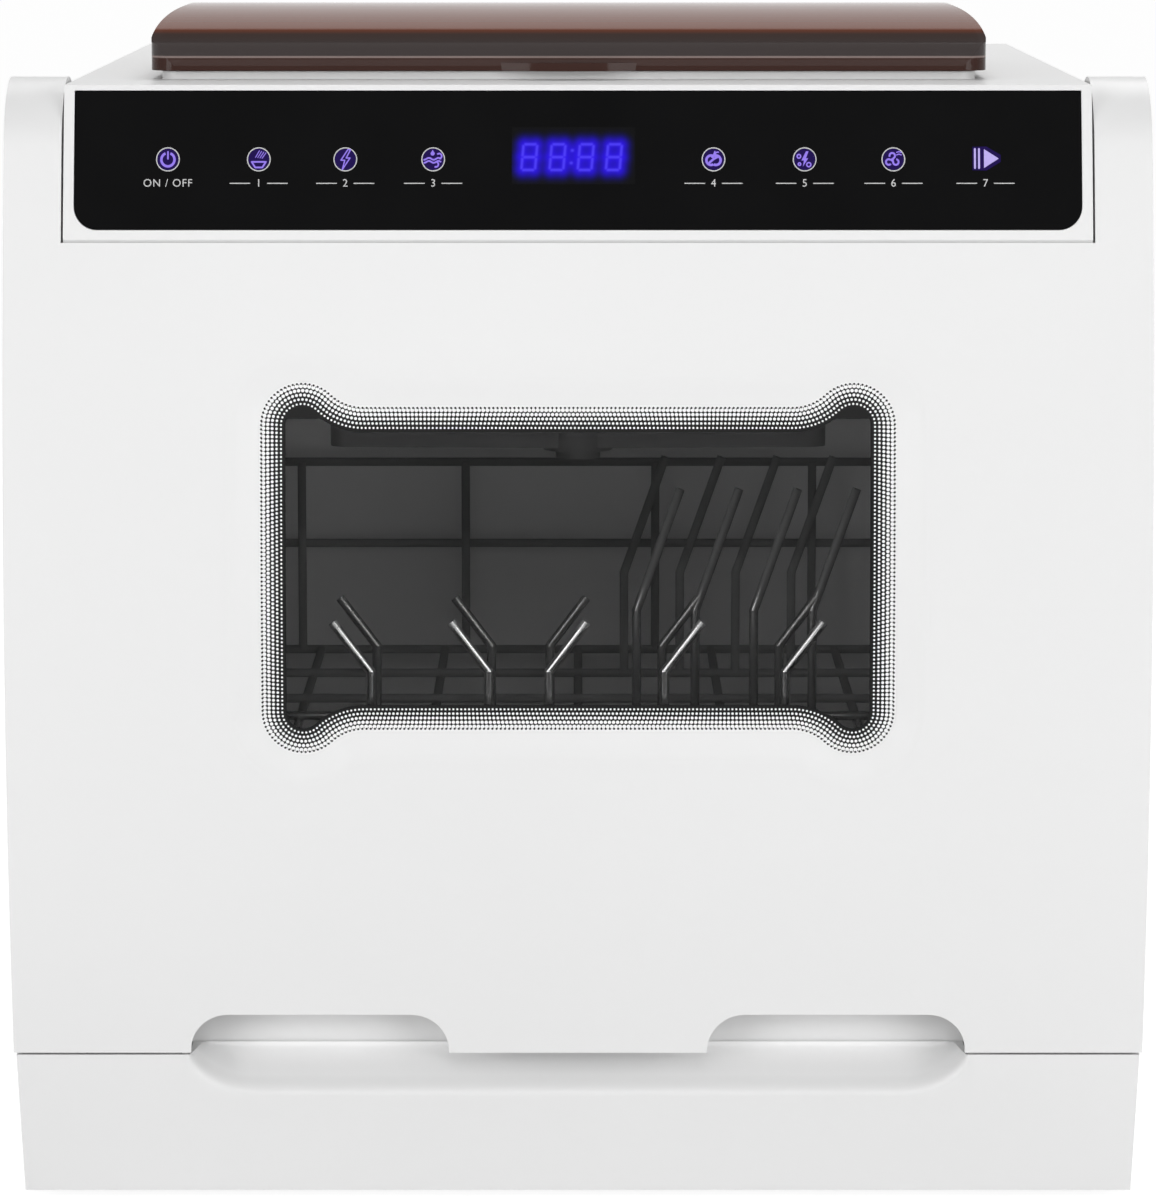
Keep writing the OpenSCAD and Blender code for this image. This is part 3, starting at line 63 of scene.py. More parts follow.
WINDOW_W = 0.2328
WINDOW_Z = (0.1827, 0.3017)
LOBE_R = 0.0157                                   # the rounded lobe at each corner of the window
BLEND_R = 0.017                                   # the hollow curve that joins it to the long edge
LOBE_RISE = 0.0087                                # how far it rises past that edge


def front_y(z, inset=0.0):
    """The crowned front's Y at height z, or that of a surface inset behind it."""
    return CROWN_Y - math.sqrt((CROWN_R - inset) ** 2 - (z - CROWN_Z) ** 2)


def grey(value):
    return (value, value, value)


# ---- Shader graphs ----
TONE_SPAN = (0.3, 0.7)                            # share of the noise over which a finish drifts
BUMP_STRENGTH = 0.4


class Graph:
    """The emptied node tree of a material or a world."""

    def __init__(self, owner):
        self.owner = owner
        owner.use_nodes = True
        self.tree = owner.node_tree
        self.tree.nodes.clear()

    def add(self, kind, **values):
        node = self.tree.nodes.new("ShaderNode" + kind)
        for key, value in values.items():
            setattr(node, key, value)
        return node

    def link(self, output, socket):
        self.tree.links.new(output, socket)

    def here(self):
        """Coordinates in the object's own space."""
        return self.add("TexCoord").outputs["Object"]

    def noise(self, scale, detail=2, stretch=(1, 1, 1)):
        scaled = self.add("Mapping")
        scaled.inputs["Scale"].default_value = stretch
        self.link(self.here(), scaled.inputs["Vector"])
        texture = self.add("TexNoise")
        texture.inputs["Scale"].default_value = scale
        texture.inputs["Detail"].default_value = detail
        self.link(scaled.outputs["Vector"], texture.inputs["Vector"])
        return texture.outputs["Fac"]

    def spread(self, share, low, high):
        """A value between two limits."""
        result = self.add("MapRange")
        result.inputs["To Min"].default_value = low
        result.inputs["To Max"].default_value = high
        self.link(share, result.inputs["Value"])
        return result.outputs["Result"]

    def blend(self, share, stops):
        """A colour from (share, colour) stops."""
        tone = self.add("ValToRGB")
        ramp = tone.color_ramp.elements
        for element, (where, color) in zip(ramp, (stops[0], stops[-1])):
            element.position = where
            element.color = (*color, 1)
        for where, color in stops[1:-1]:
            ramp.new(where).color = (*color, 1)
        self.link(share, tone.inputs["Fac"])
        return tone.outputs["Color"]

    def graded(self, axis, stops):
        """A colour that changes along one axis of the object, from (place in metres, colour) stops."""
        parts = self.add("SeparateXYZ")
        self.link(self.here(), parts.inputs["Vector"])
        low, high = stops[0][0], stops[-1][0]
        share = self.add("MapRange")
        share.inputs["From Min"].default_value = low
        share.inputs["From Max"].default_value = high
        self.link(parts.outputs[axis], share.inputs["Value"])
        shares = [((where - low) / (high - low), color) for where, color in stops]
        return self.blend(share.outputs["Result"], shares)

    def product(self, first, second):
        result = self.add("VectorMath", operation="MULTIPLY")
        self.link(first, result.inputs[0])
        self.link(second, result.inputs[1])
        return result.outputs["Vector"]

    def mix(self, share, first, second):
        result = self.add("MixShader")
        self.link(share, result.inputs["Fac"])
        self.link(first, result.inputs[1])
        self.link(second, result.inputs[2])
        return result.outputs[0]

    def seen_directly(self):
        """1 for camera, glossy and transmission rays."""
        path = self.add("LightPath")
        total = path.outputs["Is Camera Ray"]
        for ray in ("Is Glossy Ray", "Is Transmission Ray"):
            most = self.add("Math", operation="MAXIMUM")
            self.link(total, most.inputs[0])
            self.link(path.outputs[ray], most.inputs[1])
            total = most.outputs[0]
        return total

    def principled(self, **sockets):
        """Ends a material in a Principled shader, whose sockets get plain values or outputs."""
        shader = self.add("BsdfPrincipled")
        for key, value in sockets.items():
            socket = shader.inputs[key.replace("_", " ")]
            if isinstance(value, bpy.types.NodeSocket):
                self.link(value, socket)
            else:
                socket.default_value = value
        self.link(shader.outputs["BSDF"], self.add("OutputMaterial").inputs["Surface"])
        return self.owner


def new_graph(name):
    return Graph(bpy.data.materials.new(name))


# ---- Finishes ----
def finish(name, tones, rough, drift=18.0, grain=2600.0, relief=0.00002, stretch=(1, 1, 1), **sockets):
    """A Principled finish: the colour drifts between two tones, and a fine grain sets gloss and relief."""
    graph = new_graph(name)
    fine = graph.noise(grain, 2, stretch)
    bump = graph.add("Bump")
    bump.inputs["Strength"].default_value = BUMP_STRENGTH
    bump.inputs["Distance"].default_value = relief
    graph.link(fine, bump.inputs["Height"])
    return graph.principled(
        Base_Color=graph.blend(graph.noise(drift, 3, stretch), list(zip(TONE_SPAN, tones))),
        Roughness=graph.spread(fine, *rough), Normal=bump.outputs["Normal"], **sockets)


def tinted_glass(name, tone, alpha):
    """A flat pane: a see-through tint with a clear reflection."""
    return finish(name, [grey(tone), grey(tone * 1.1)], (0.02, 0.035), relief=0.0000005, Alpha=alpha,
        Specular_IOR_Level=0.25)


def coated_wire():
    """Rack wire with painted light: the short front tines are painted pale and glossy as a painted highlight,
    and the wire is painted dark and dull towards the back and the top as painted shade.
    """
    graph = new_graph("coated_wire")
    painted_gleam = graph.product(graph.graded("Y", WIRE_PAINTED_GLEAM), graph.graded("Z", WIRE_PAINTED_GLEAM_HIGH))
    return graph.principled(
        Base_Color=graph.product(graph.graded("Y", WIRE_PAINTED_SHADE), graph.graded("Z", WIRE_PAINTED_SHADE_HIGH)),
        Metallic=painted_gleam, Specular_IOR_Level=painted_gleam, Roughness=graph.spread(graph.noise(900), 0.16, 0.26))


def smoked_plastic():
    """Glossy brown see-through plastic: its own redder brown on the crown, and painted light below it: a dark
    rim of painted shade, a pale line of painted highlight and a grey skirt of painted reflection.
    """
    graph = new_graph("smoke_lid")
    return graph.principled(Base_Color=graph.graded("Z", LID_BROWN_AND_PAINTED_LIGHT), Alpha=0.93,
        Specular_IOR_Level=graph.graded("Z", LID_SHINE), Roughness=graph.spread(graph.noise(260), 0.05, 0.11))


def panel_glass():
    """Black glass with the faintest haze."""
    graph = new_graph("control_glass")
    return graph.principled(Base_Color=graph.blend(graph.noise(30), PANEL_TONES), Roughness=0.06,
        Specular_IOR_Level=0.012)


def light_ink(name, core):
    """Ink lit from behind: its brightness drifts a little along the stroke."""
    graph = new_graph(name)
    light = graph.blend(graph.noise(900), [(0, [c * DIM_SHARE for c in core]), (1, core)])
    return graph.principled(Base_Color=(0.004, 0.004, 0.005, 1), Roughness=0.1, Specular_IOR_Level=0.015,
        Emission_Color=light, Emission_Strength=1)


def display_glow():
    """The display's dark window, lit by the glow that its mesh carries."""
    graph = new_graph("display_glow")
    glow = graph.add("Attribute", attribute_name=GLOW).outputs["Color"]
    return graph.principled(Base_Color=graph.blend(graph.noise(500), DISPLAY_TONES), Roughness=0.08,
        Specular_IOR_Level=0.02, Emission_Color=glow, Emission_Strength=1)


def scoop_painted_light():
    """The cover's white, painted a little paler down in the hollow as painted light against the shade there.
    """
    graph = new_graph("scoop_white_painted_light")
    edge = front_y(SCOOP_Z - SCOOP_EDGE)
    stops = [(edge, grey(0.82)), (edge + SCOOP_PAINTED_LIGHT_DEPTH, grey(0.95)), (edge + 2 * SCOOP_PAINTED_LIGHT_DEPTH, grey(0.95))]
    return graph.principled(Base_Color=graph.graded("Y", stops), Roughness=0.35, Specular_IOR_Level=0.35)


# Painted light on the rack wire, by depth and by height: pale and glossy at the front tines as a painted
# highlight, dark and dull towards the back and the top as painted shade.
WIRE_PAINTED_SHADE = [(-0.140, grey(0.85)), (-0.120, grey(0.80)), (-0.071, grey(0.27)), (-0.050, grey(0.24)),
    (0.0, grey(0.30))]
WIRE_PAINTED_GLEAM = [(-0.140, grey(1.0)), (-0.120, grey(0.95)), (-0.071, grey(0.70)), (-0.050, grey(0.0)),
    (0.0, grey(0.0))]
WIRE_PAINTED_SHADE_HIGH = [(0.165, grey(1.0)), (0.208, grey(1.0)), (0.216, grey(0.70)), (0.256, grey(0.70))]
WIRE_PAINTED_GLEAM_HIGH = [(0.165, grey(1.0)), (0.208, grey(1.0)), (0.216, grey(0.05)), (0.256, grey(0.0))]
# The lid's colour by height: a painted dark rim standing for shade seen through the plastic, a painted pale
# highlight line, a painted grey reflection band, then the plastic's own redder brown on the crown.
LID_BROWN_AND_PAINTED_LIGHT = [(0.4215, (0.050, 0.022, 0.017)), (0.4254, (0.050, 0.022, 0.017)), (0.4257, (0.26, 0.20, 0.185)),
    (0.4261, (0.26, 0.20, 0.185)), (0.4264, (0.058, 0.047, 0.046)), (0.4312, (0.062, 0.050, 0.048)),
    (0.4340, (0.070, 0.048, 0.043)), (0.4358, (0.205, 0.064, 0.036)), (0.4440, (0.205, 0.070, 0.042))]
# The lid's gloss by height, turned off over the painted grey reflection band.
LID_SHINE = [(0.4215, grey(0.1)), (0.4308, grey(0.1)), (0.4312, grey(0.0)), (0.4354, grey(0.0)),
    (0.4362, grey(0.08)), (0.4440, grey(0.1))]
PANEL_TONES = [(0, (0.0030, 0.0030, 0.0032)), (1, (0.0050, 0.0050, 0.0053))]
DISPLAY_TONES = [(0, (0.0035, 0.0035, 0.0038)), (1, (0.0050, 0.0050, 0.0054))]
DIM_SHARE = 0.75                                  # a lit stroke's dimmest part
GLOW = "glow"                                     # the colour that the display's mesh carries

WHITE = finish("white_cover", [grey(0.815), grey(0.825)], (0.30, 0.40), drift=6.0, Specular_IOR_Level=0.35)
WELL_WHITE = finish("well_white", [grey(0.76), grey(0.80)], (0.38, 0.50))
ENAMEL = finish("dot_enamel", [grey(0.86), grey(0.90)], (0.25, 0.35))
BLACK_INK = finish("black_ink", [grey(0.004), grey(0.007)], (0.25, 0.35), Specular_IOR_Level=0.15)
WHITE_INK = finish("white_ink", [grey(0.50), grey(0.56)], (0.35, 0.45))
STAINLESS = finish("stainless", [grey(0.34), grey(0.42)], (0.22, 0.40), drift=9.0, grain=900.0,
    stretch=(0.06, 1, 1), Metallic=1.0)
ZINC = finish("zinc_steel", [(0.46, 0.47, 0.48), (0.56, 0.57, 0.57)], (0.28, 0.42), drift=60.0, Metallic=1.0)
TUB_STEEL = finish("tub_steel", [grey(0.90), grey(0.94)], (0.42, 0.55), drift=9.0, grain=900.0,
    stretch=(0.06, 1, 1), Metallic=0.25)
GREY_MOULDING = finish("grey_moulding", [grey(0.20), grey(0.24)], (0.40, 0.55), relief=0.00004)
DARK_MOULDING = finish("dark_moulding", [grey(0.012), grey(0.018)], (0.42, 0.58), relief=0.00004)
RUBBER = finish("black_rubber", [grey(0.018), grey(0.026)], (0.60, 0.78), relief=0.00005)
TANK = finish("tank_plastic", [(0.66, 0.69, 0.70), (0.72, 0.75, 0.76)], (0.30, 0.42),
    Transmission_Weight=0.25)
BOARD = finish("board_green", [(0.010, 0.065, 0.030), (0.016, 0.085, 0.040)], (0.30, 0.45), drift=160.0)
FERRITE = finish("magnet_grey", [grey(0.055), grey(0.08)], (0.55, 0.70), drift=220.0)
DOOR_GLASS = tinted_glass("door_glass", 0.012, 0.12)
INNER_GLASS = tinted_glass("inner_glass", 0.03, 0.05)
WIRE = coated_wire()
SMOKE = smoked_plastic()
PANEL_GLASS = panel_glass()
VIOLET = light_ink("violet_light", (0.36, 0.24, 1.0))
PALE_VIOLET = light_ink("pale_violet_light", (0.60, 0.50, 1.0))
DIM_VIOLET = light_ink("dim_violet_light", (0.012, 0.002, 0.085))
DISPLAY_GLOW = display_glow()


def dress(material, *names):
    """Gives CAD nodes a finish."""
    for name in names:
        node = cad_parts[name]
        node.data.materials.clear()
        node.data.materials.append(material)


def dress_nodes():
    dress(WHITE, "base_tray", "side_panel_left", "side_panel_right", "rear_panel", "top_cover",
        "front_frame", "door_shell")
    dress(WELL_WHITE, "fill_well")
    dress(TUB_STEEL, "tub")
    dress(STAINLESS, "door_liner", "rack_rails", "filter_plate", "heater")
    dress(ZINC, "bottom_plate", "hinge_beam", "hinge_brackets", "door_springs", "door_strike", "hinge_pins",
        "door_screws", "lid_pins", "cover_screws")
    dress(GREY_MOULDING, "hinge_bushes", "fill_strainer", "sump", "filter_cup", "circulation_pump",
        "drain_pump", "spray_hub", "lower_spray_arm", "upper_feed_pipe", "upper_spray_arm", "fan_housing",
        "water_connectors", "cutlery_basket")
    dress(DARK_MOULDING, "display_module", "window_frame", "lid_hinges", "pump_impeller", "drain_impeller",
        "fan_wheel", "power_box", "power_inlet")
    dress(RUBBER, "rubber_feet", "door_gasket", "tank_hose", "suction_hose", "drain_hose")
    dress(TANK, "fill_duct", "water_tank", "air_duct")
    dress(BOARD, "control_board", "power_board")
    dress(FERRITE, "catch_magnet")
    dress(WIRE, "dish_rack")
    dress(DOOR_GLASS, "door_glass")
    dress(INNER_GLASS, "inner_glass")
    dress(SMOKE, "fill_lid")
    dress(PANEL_GLASS, "control_glass")


# ---- Rounded edges ----
WELD_REACH = 0.000002
FLAT_ANGLE = math.radians(0.2)                    # faces this near to one plane become one
SHARP_ANGLE = math.radians(35)                    # edges sharper than this are rounded
BEVEL_SEGMENTS = 3
FACE_WEIGHT = 60


def soften(width, *names):
    """Rounds the sharp outer edges of CAD nodes."""
    for name in names:
        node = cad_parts[name]
        weld = node.modifiers.new("weld", "WELD")
        weld.merge_threshold = WELD_REACH
        flat = node.modifiers.new("flat", "DECIMATE")
        flat.decimate_type = "DISSOLVE"
        flat.angle_limit = FLAT_ANGLE
        bevel = node.modifiers.new("bevel", "BEVEL")
        bevel.width = width
        bevel.segments = BEVEL_SEGMENTS
        bevel.limit_method = "ANGLE"
        bevel.angle_limit = SHARP_ANGLE
        bevel.miter_outer = "MITER_ARC"
        shade = node.modifiers.new("shade", "WEIGHTED_NORMAL")
        shade.keep_sharp = True
        shade.weight = FACE_WEIGHT


def soften_nodes():
    soften(0.0012, "top_cover", "base_tray", "side_panel_left", "side_panel_right", "rear_panel")
    soften(0.0009, "door_shell")
    soften(0.0005, "control_glass", "lid_hinges", "power_inlet", "power_box", "cutlery_basket")
    soften(0.0003, "door_strike", "hinge_beam", "bottom_plate")


# ---- Flat prints ----
ROUND_SIDES = 40                                  # sides of a ring
DISC_SIDES = 20
END_SIDES = 10                                    # sides of a stroke's round end
LETTER_SPACE = 1.12


class Print:
    """Flat shapes on the crowned front, in (x, z), gathered into one mesh."""

    def __init__(self, inset=0.0, lift=PRINT_LIFT):
        self.mesh = bmesh.new()
        self.inset = inset - lift

    def face(self, points):
        corners = [self.mesh.verts.new((x, front_y(z, self.inset), z)) for x, z in points]
        self.mesh.faces.new(corners)

    def disc(self, centre, r, sides=DISC_SIDES):
        turns = [2 * math.pi * i / sides for i in range(sides)]
        self.face([(centre[0] + r * math.cos(a), centre[1] + r * math.sin(a)) for a in turns])

    def arc(self, centre, r, width, start, end):
        """A bent band between two angles in degrees."""
        steps = max(3, int(ROUND_SIDES * abs(end - start) / 360))
        for i in range(steps):
            a, b = (math.radians(start + (end - start) * k / steps) for k in (i, i + 1))
            rims = (r - width / 2, r + width / 2)
            self.face([(centre[0] + q * math.cos(t), centre[1] + q * math.sin(t))
                for t, q in ((a, rims[0]), (a, rims[1]), (b, rims[1]), (b, rims[0]))])

    def ring(self, centre, r, width):
        self.arc(centre, r, width, 0, 360)

    def stroke(self, points, width):
        """A round-ended line through the points."""
        for p, q in zip(points, points[1:]):
            along = Vector((q[0] - p[0], q[1] - p[1])).normalized() * width / 2
            side = Vector((-along.y, along.x))
            self.face([(p[0] + side.x, p[1] + side.y), (p[0] - side.x, p[1] - side.y),
                (q[0] - side.x, q[1] - side.y), (q[0] + side.x, q[1] + side.y)])
        for p in points:
            self.disc(p, width / 2, END_SIDES)

    def words(self, text, centre, size):
        """A line of sans lettering, centred."""
        curve = bpy.data.curves.new("lettering", "FONT")
        curve.body = text
        curve.size = size
        curve.space_character = LETTER_SPACE
        curve.align_x = "CENTER"
        curve.align_y = "CENTER"
        holder = bpy.data.objects.new("lettering", curve)
        bpy.context.scene.collection.objects.link(holder)
        bpy.context.view_layer.update()
        flat = bpy.data.meshes.new_from_object(holder)
        for polygon in flat.polygons:
            self.face([(centre[0] + flat.vertices[v].co.x, centre[1] + flat.vertices[v].co.y)
                for v in polygon.vertices])
        bpy.data.objects.remove(holder)
        bpy.data.meshes.remove(flat)

    def piece(self, name, material, body, slot):
        data = bpy.data.meshes.new(name)
        self.mesh.normal_update()
        self.mesh.to_mesh(data)
        self.mesh.free()
        return new_piece(name, data, material, body)


def place(name, data, location=(0, 0, 0)):
    """An object of that data in the scene."""
    thing = bpy.data.objects.new(name, data)
    thing.location = location
    bpy.context.scene.collection.objects.link(thing)
    return thing


def new_piece(name, data, material, body):
    """An object of that mesh, with its finish, riding on a body."""
    piece = place(name, data)
    data.materials.append(material)
    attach(piece, body)
    return piece


# ---- Legends of the control panel ----
ICON_Z = 0.3907
ICON_R = 0.00415
RING_W = 0.00038
HAIR = 0.0003
THIN = 0.0005
LINE = 0.0006
BOLD = 0.0009
CAPTION_Z = 0.3821
CAPTION_SIZE = 0.0039
DASH_W = 0.00035
DASH_X = (3.2, 10.5)                              # a dash beside a number starts and ends there, in mm
ICON_X = {"power": -0.1498, "bowl": -0.1166, "bolt": -0.0850, "wind": -0.0529, "fruit": 0.0495,
    "steam": 0.0828, "fan": 0.1152, "start": 0.1488}


def at(name, x, z):
    """A point of an icon, in millimetres from its centre."""
    return (ICON_X[name] + x / 1000, ICON_Z + z / 1000)


def path(name, *points):
    """Points of an icon."""
    return [at(name, x, z) for x, z in points]


def caption(name, x=0):
    """A point of the caption under an icon, in millimetres from its middle."""
    return (ICON_X[name] + x / 1000, CAPTION_Z)


def glyph_power(ink):
    ink.arc(at("power", 0, -0.1), 0.0024, BOLD, 112, 428)
    ink.stroke(path("power", (0, 0.2), (0, 2.7)), LINE)


def glyph_bowl(ink):
    ink.stroke(path("bowl", (-2.6, -0.9), (2.6, -0.9), (1.3, -2.9), (-1.3, -2.9), (-2.6, -0.9)), LINE)
    for i in range(4):
        ink.stroke(path("bowl", (0.2 + 0.8 * i, 3.1 - 0.25 * i), (-1.2 + 0.8 * i, 0.7 - 0.1 * i)), HAIR)


def glyph_bolt(ink):
    ink.stroke(path("bolt", (0.9, 3.5), (-1.6, -0.3), (-0.2, -0.3), (-1.1, -3.7), (1.7, 0.5), (0.3, 0.5),
        (1.9, 3.5), (0.9, 3.5)), 0.00045)


def glyph_wind(ink):
    for z in (-0.9, 0.2):
        ink.stroke(path("wind", *[(-3.3 + 0.5 * i, z - 0.35 * math.cos(i * 0.9)) for i in range(13)]), LINE)
    ink.arc(at("wind", 1.0, -1.8), 0.0009, LINE, 90, -120)
    ink.arc(at("wind", 2.2, 1.2), 0.0009, LINE, -90, 140)
    ink.disc(at("wind", -0.2, 2.1), 0.00075)
    ink.face(path("wind", (-0.85, 2.3), (0.45, 2.3), (-0.2, 3.5)))


def glyph_fruit(ink):
    ink.arc(at("fruit", -0.9, -0.3), 0.0017, BOLD, 50, 300)
    ink.arc(at("fruit", 0.9, -0.3), 0.0017, BOLD, 150, -120)
    ink.stroke(path("fruit", (-1.4, -1.1), (0, 0.1), (1.5, 0.9)), 0.0008)
    ink.stroke(path("fruit", (0, 1.4), (0.5, 2.8)), THIN)
    ink.arc(at("fruit", 1.5, 1.7), 0.0009, THIN, 60, 220)


def glyph_steam(ink):
    ink.face(path("steam", (0.5, 2.9), (-1.2, -0.4), (0.2, -0.4), (1.4, 2.9)))
    ink.face(path("steam", (-0.1, 0.4), (-0.7, -2.7), (1.3, 0.4)))
    for x, z, r in ((-2.1, 1.1, 0.00065), (-1.9, -1.7, 0.00045), (1.5, -1.9, 0.00075)):
        ink.ring(at("steam", x, z), r, THIN)


def glyph_fan(ink):
    hub = (-0.4, -0.2)
    for turn in (90, 210, 330):
        a = math.radians(turn)
        blade = at("fan", hub[0] + 1.5 * math.cos(a), hub[1] + 1.5 * math.sin(a))
        ink.arc(blade, 0.0010, 0.0007, turn - 170, turn + 110)
    ink.disc(at("fan", *hub), 0.0006)
    for z in (1.6, 2.5):
        ink.stroke(path("fan", (1.2, z), (2.0, z + 0.3), (2.9, z)), 0.0004)


def make_legends():
    """The icons, their rings and the plain captions under them."""
    ringed = [name for name in ICON_X if name != "start"]
    halo = Print()
    for name in ringed:
        halo.disc(at(name, 0, 0), ICON_R, ROUND_SIDES)
    halo.face(path("start", (-4.7, -3.9), (0.4, -4.0), (5.6, -0.9), (5.6, 1.6), (0.4, 4.6), (-4.7, 4.5)))
    halo.piece("icon_glow", DIM_VIOLET, "cabinet", "black_panel")

    rings = Print(lift=2 * PRINT_LIFT)
    for name in ringed:
        rings.ring(at(name, 0, 0), ICON_R, RING_W)
    rings.words("ON / OFF", caption("power"), CAPTION_SIZE)
    for i, name in enumerate([name for name in ICON_X if name != "power"]):
        rings.words(str(i + 1), caption(name), CAPTION_SIZE)
        for side in (-1, 1):
            rings.stroke([caption(name, side * x) for x in DASH_X], DASH_W)
    rings.piece("panel_legends", WHITE_INK, "cabinet", "black_panel")

    glyphs = Print(lift=2 * PRINT_LIFT)
    for draw in (glyph_power, glyph_bowl, glyph_bolt, glyph_wind, glyph_fruit, glyph_steam, glyph_fan):
        draw(glyphs)
    glyphs.piece("icon_lights", VIOLET, "cabinet", "black_panel")

    start = Print(lift=2 * PRINT_LIFT)
    start.face(path("start", (-0.5, 3.7), (-0.5, -3.1), (4.9, 0.3)))
    for x in (-3.8, -2.3):
        start.stroke(path("start", (x, -3.1), (x, 3.7)), 0.0007)
    start.piece("start_light", PALE_VIOLET, "cabinet", "black_panel")


# ---- Display: four digits and a colon, on a grid of colour values ----
DISPLAY_X = (-0.0242, 0.0209)
DISPLAY_Z = (0.3817, 0.4023)
DIGITS_X = (-0.0207, -0.0104, -0.0001, 0.0102)
DIGIT_W = 0.0050
DIGIT_Z = (0.3869, 0.3961)
COLON_X = (-0.0028, -0.0026)
COLON_Z = (0.3894, 0.3939)
SEGMENTS = [((0, 1), (1, 1)), ((0, 0.5), (1, 0.5)), ((0, 0), (1, 0)), ((0, 0), (0, 0.5)), ((0, 0.5), (0, 1)),
    ((1, 0), (1, 0.5)), ((1, 0.5), (1, 1))]
SLANT = 0.09
SEGMENT_CUT = 0.14                                # share of a segment left dark at each end
SEGMENT_R = 0.00050
GLOW_R = 0.0023
GLOW_PITCH = 0.00030                              # of the grid
GLOW_SHARE = 0.55                                 # what each stroke adds to the soft light
SOFT_LIGHT = 0.9
SHARP_LIGHT = 0.85
SOFT_TINT = (0.026, 0.002)                        # red and green in the soft light, beside a full blue
SHARP_TINT = (0.055, 0.042)                       # and on the strokes


def slanted(x, z):
    return Vector((x + SLANT * (z - DIGIT_Z[0]), z))


def display_segments():
    """The lit strokes of 88:88 as pairs of (x, z) ends."""
    height = DIGIT_Z[1] - DIGIT_Z[0]
    for x in DIGITS_X:
        for p, q in SEGMENTS:
            p, q = Vector(p), Vector(q)
            cut = (q - p) * SEGMENT_CUT
            yield [slanted(x + end.x * DIGIT_W, DIGIT_Z[0] + end.y * height) for end in (p + cut, q - cut)]
    for z in COLON_Z:
        yield [slanted(x, z) for x in COLON_X]


def glow_at(point, segments):
    """The display's light at a point: sharp on the strokes, soft round them."""
    dark = 1.0
    nearest = 1.0
    for p, q in segments:
        along = max(0.0, min(1.0, (point - p).dot(q - p) / (q - p).length_squared))
        away = (point - p - along * (q - p)).length
        dark *= 1 - GLOW_SHARE * math.exp(-(away / GLOW_R) ** 2)
        nearest = min(nearest, away)
    soft = (1 - dark) * SOFT_LIGHT
    sharp = math.exp(-(nearest / SEGMENT_R) ** 2)
    red, green = (low * soft + high * sharp for low, high in zip(SOFT_TINT, SHARP_TINT))
    return (red, green, soft + (1 - soft) * SHARP_LIGHT * sharp, 1)


def make_display():
    """The dark display window, with a soft glow round each lit stroke."""
    segments = list(display_segments())
    window = Print()
    columns = round((DISPLAY_X[1] - DISPLAY_X[0]) / GLOW_PITCH)
    rows = round((DISPLAY_Z[1] - DISPLAY_Z[0]) / GLOW_PITCH)
    glow = window.mesh.verts.layers.float_color.new(GLOW)
    grid = []
    for i in range(columns + 1):
        for j in range(rows + 1):
            x = DISPLAY_X[0] + (DISPLAY_X[1] - DISPLAY_X[0]) * i / columns
            z = DISPLAY_Z[0] + (DISPLAY_Z[1] - DISPLAY_Z[0]) * j / rows
            vertex = window.mesh.verts.new((x, front_y(z, window.inset), z))
            vertex[glow] = glow_at(Vector((x, z)), segments)
            grid.append(vertex)
    for i in range(columns):
        for j in range(rows):
            k = i * (rows + 1) + j
            window.mesh.faces.new([grid[k], grid[k + rows + 1], grid[k + rows + 2], grid[k + 1]])
    window.piece("display_window", DISPLAY_GLOW, "cabinet", "black_panel")


# ---- Window: a dish round the pane, and a white print that breaks into dots on black ----
DISH_W = 0.010
DISH_DEPTH = 0.003
DISH_LOOPS = (0.0124, 0.0112, 0.0100, 0.0078, 0.0050, 0.0022, 0.0004)
SIDE_CUTS = 6                                     # points on half an end of the outline
ARC_STEP = 3.0                                    # degrees between points on its curves
PRINT_EDGES = (-0.0006, 0.0009)                   # insets of the white line's edges
BORDER_W = 0.0096
BORDER_EDGES = (0.0007, BORDER_W)                 # and of the black band's
BORDER_TOP = 0.2970                               # the black's straight upper edge in the lobes
DOT_PITCH = 0.00153
ROW_PITCH = 0.00161
FIRST_ROW = 0.0015
DOT_R = (0.00076, 0.00066, 0.00057, 0.00049, 0.00040)
DOT_SIDES = 10
HOLE_R = 0.00042                                  # the last black outside the merged dots
HOLE_SIDES = 8


def window_outline(inset):
    """The window's lobed outline, inset from its edge, as (x, z) points."""
    half = Vector((WINDOW_W / 2, (WINDOW_Z[1] - WINDOW_Z[0]) / 2))
    lobe = Vector((half.x - LOBE_R, half.y + LOBE_RISE - LOBE_R))
    span = LOBE_R + BLEND_R
    blend = Vector((lobe.x - math.sqrt(span ** 2 - (span - LOBE_RISE) ** 2), half.y + BLEND_R))
    turn = math.degrees(math.atan2(blend.y - lobe.y, blend.x - lobe.x))
    corner = [(half.x - inset, lobe.y * (i + 0.5) / SIDE_CUTS) for i in range(SIDE_CUTS)]
    for centre, r, start, end in ((lobe, LOBE_R - inset, 0, turn), (blend, BLEND_R + inset, turn - 180, -90)):
        count = int(abs(end - start) / ARC_STEP)
        for i in range(0 if centre is lobe else 1, count + 1):
            a = math.radians(start + (end - start) * i / count)
            corner.append((centre.x + r * math.cos(a), centre.y + r * math.sin(a)))
    quarters = [corner, [(-x, z) for x, z in reversed(corner)], [(-x, -z) for x, z in corner],
        [(x, -z) for x, z in reversed(corner)]]
    middle = sum(WINDOW_Z) / 2
    return [(x, z + middle) for quarter in quarters for x, z in quarter]


def even_points(outline, count, shift):
    """That many points at an even pitch along a closed outline."""
    closed = outline + outline[:1]
    lengths = [math.dist(p, q) for p, q in zip(closed, closed[1:])]
    step = sum(lengths) / count
    points = []
    travelled = 0.0
    for p, q, length in zip(closed, closed[1:], lengths):
        while len(points) < count and (len(points) + shift) * step < travelled + length:
            share = ((len(points) + shift) * step - travelled) / length
            points.append((p[0] + (q[0] - p[0]) * share, p[1] + (q[1] - p[1]) * share))
        travelled += length
    return points


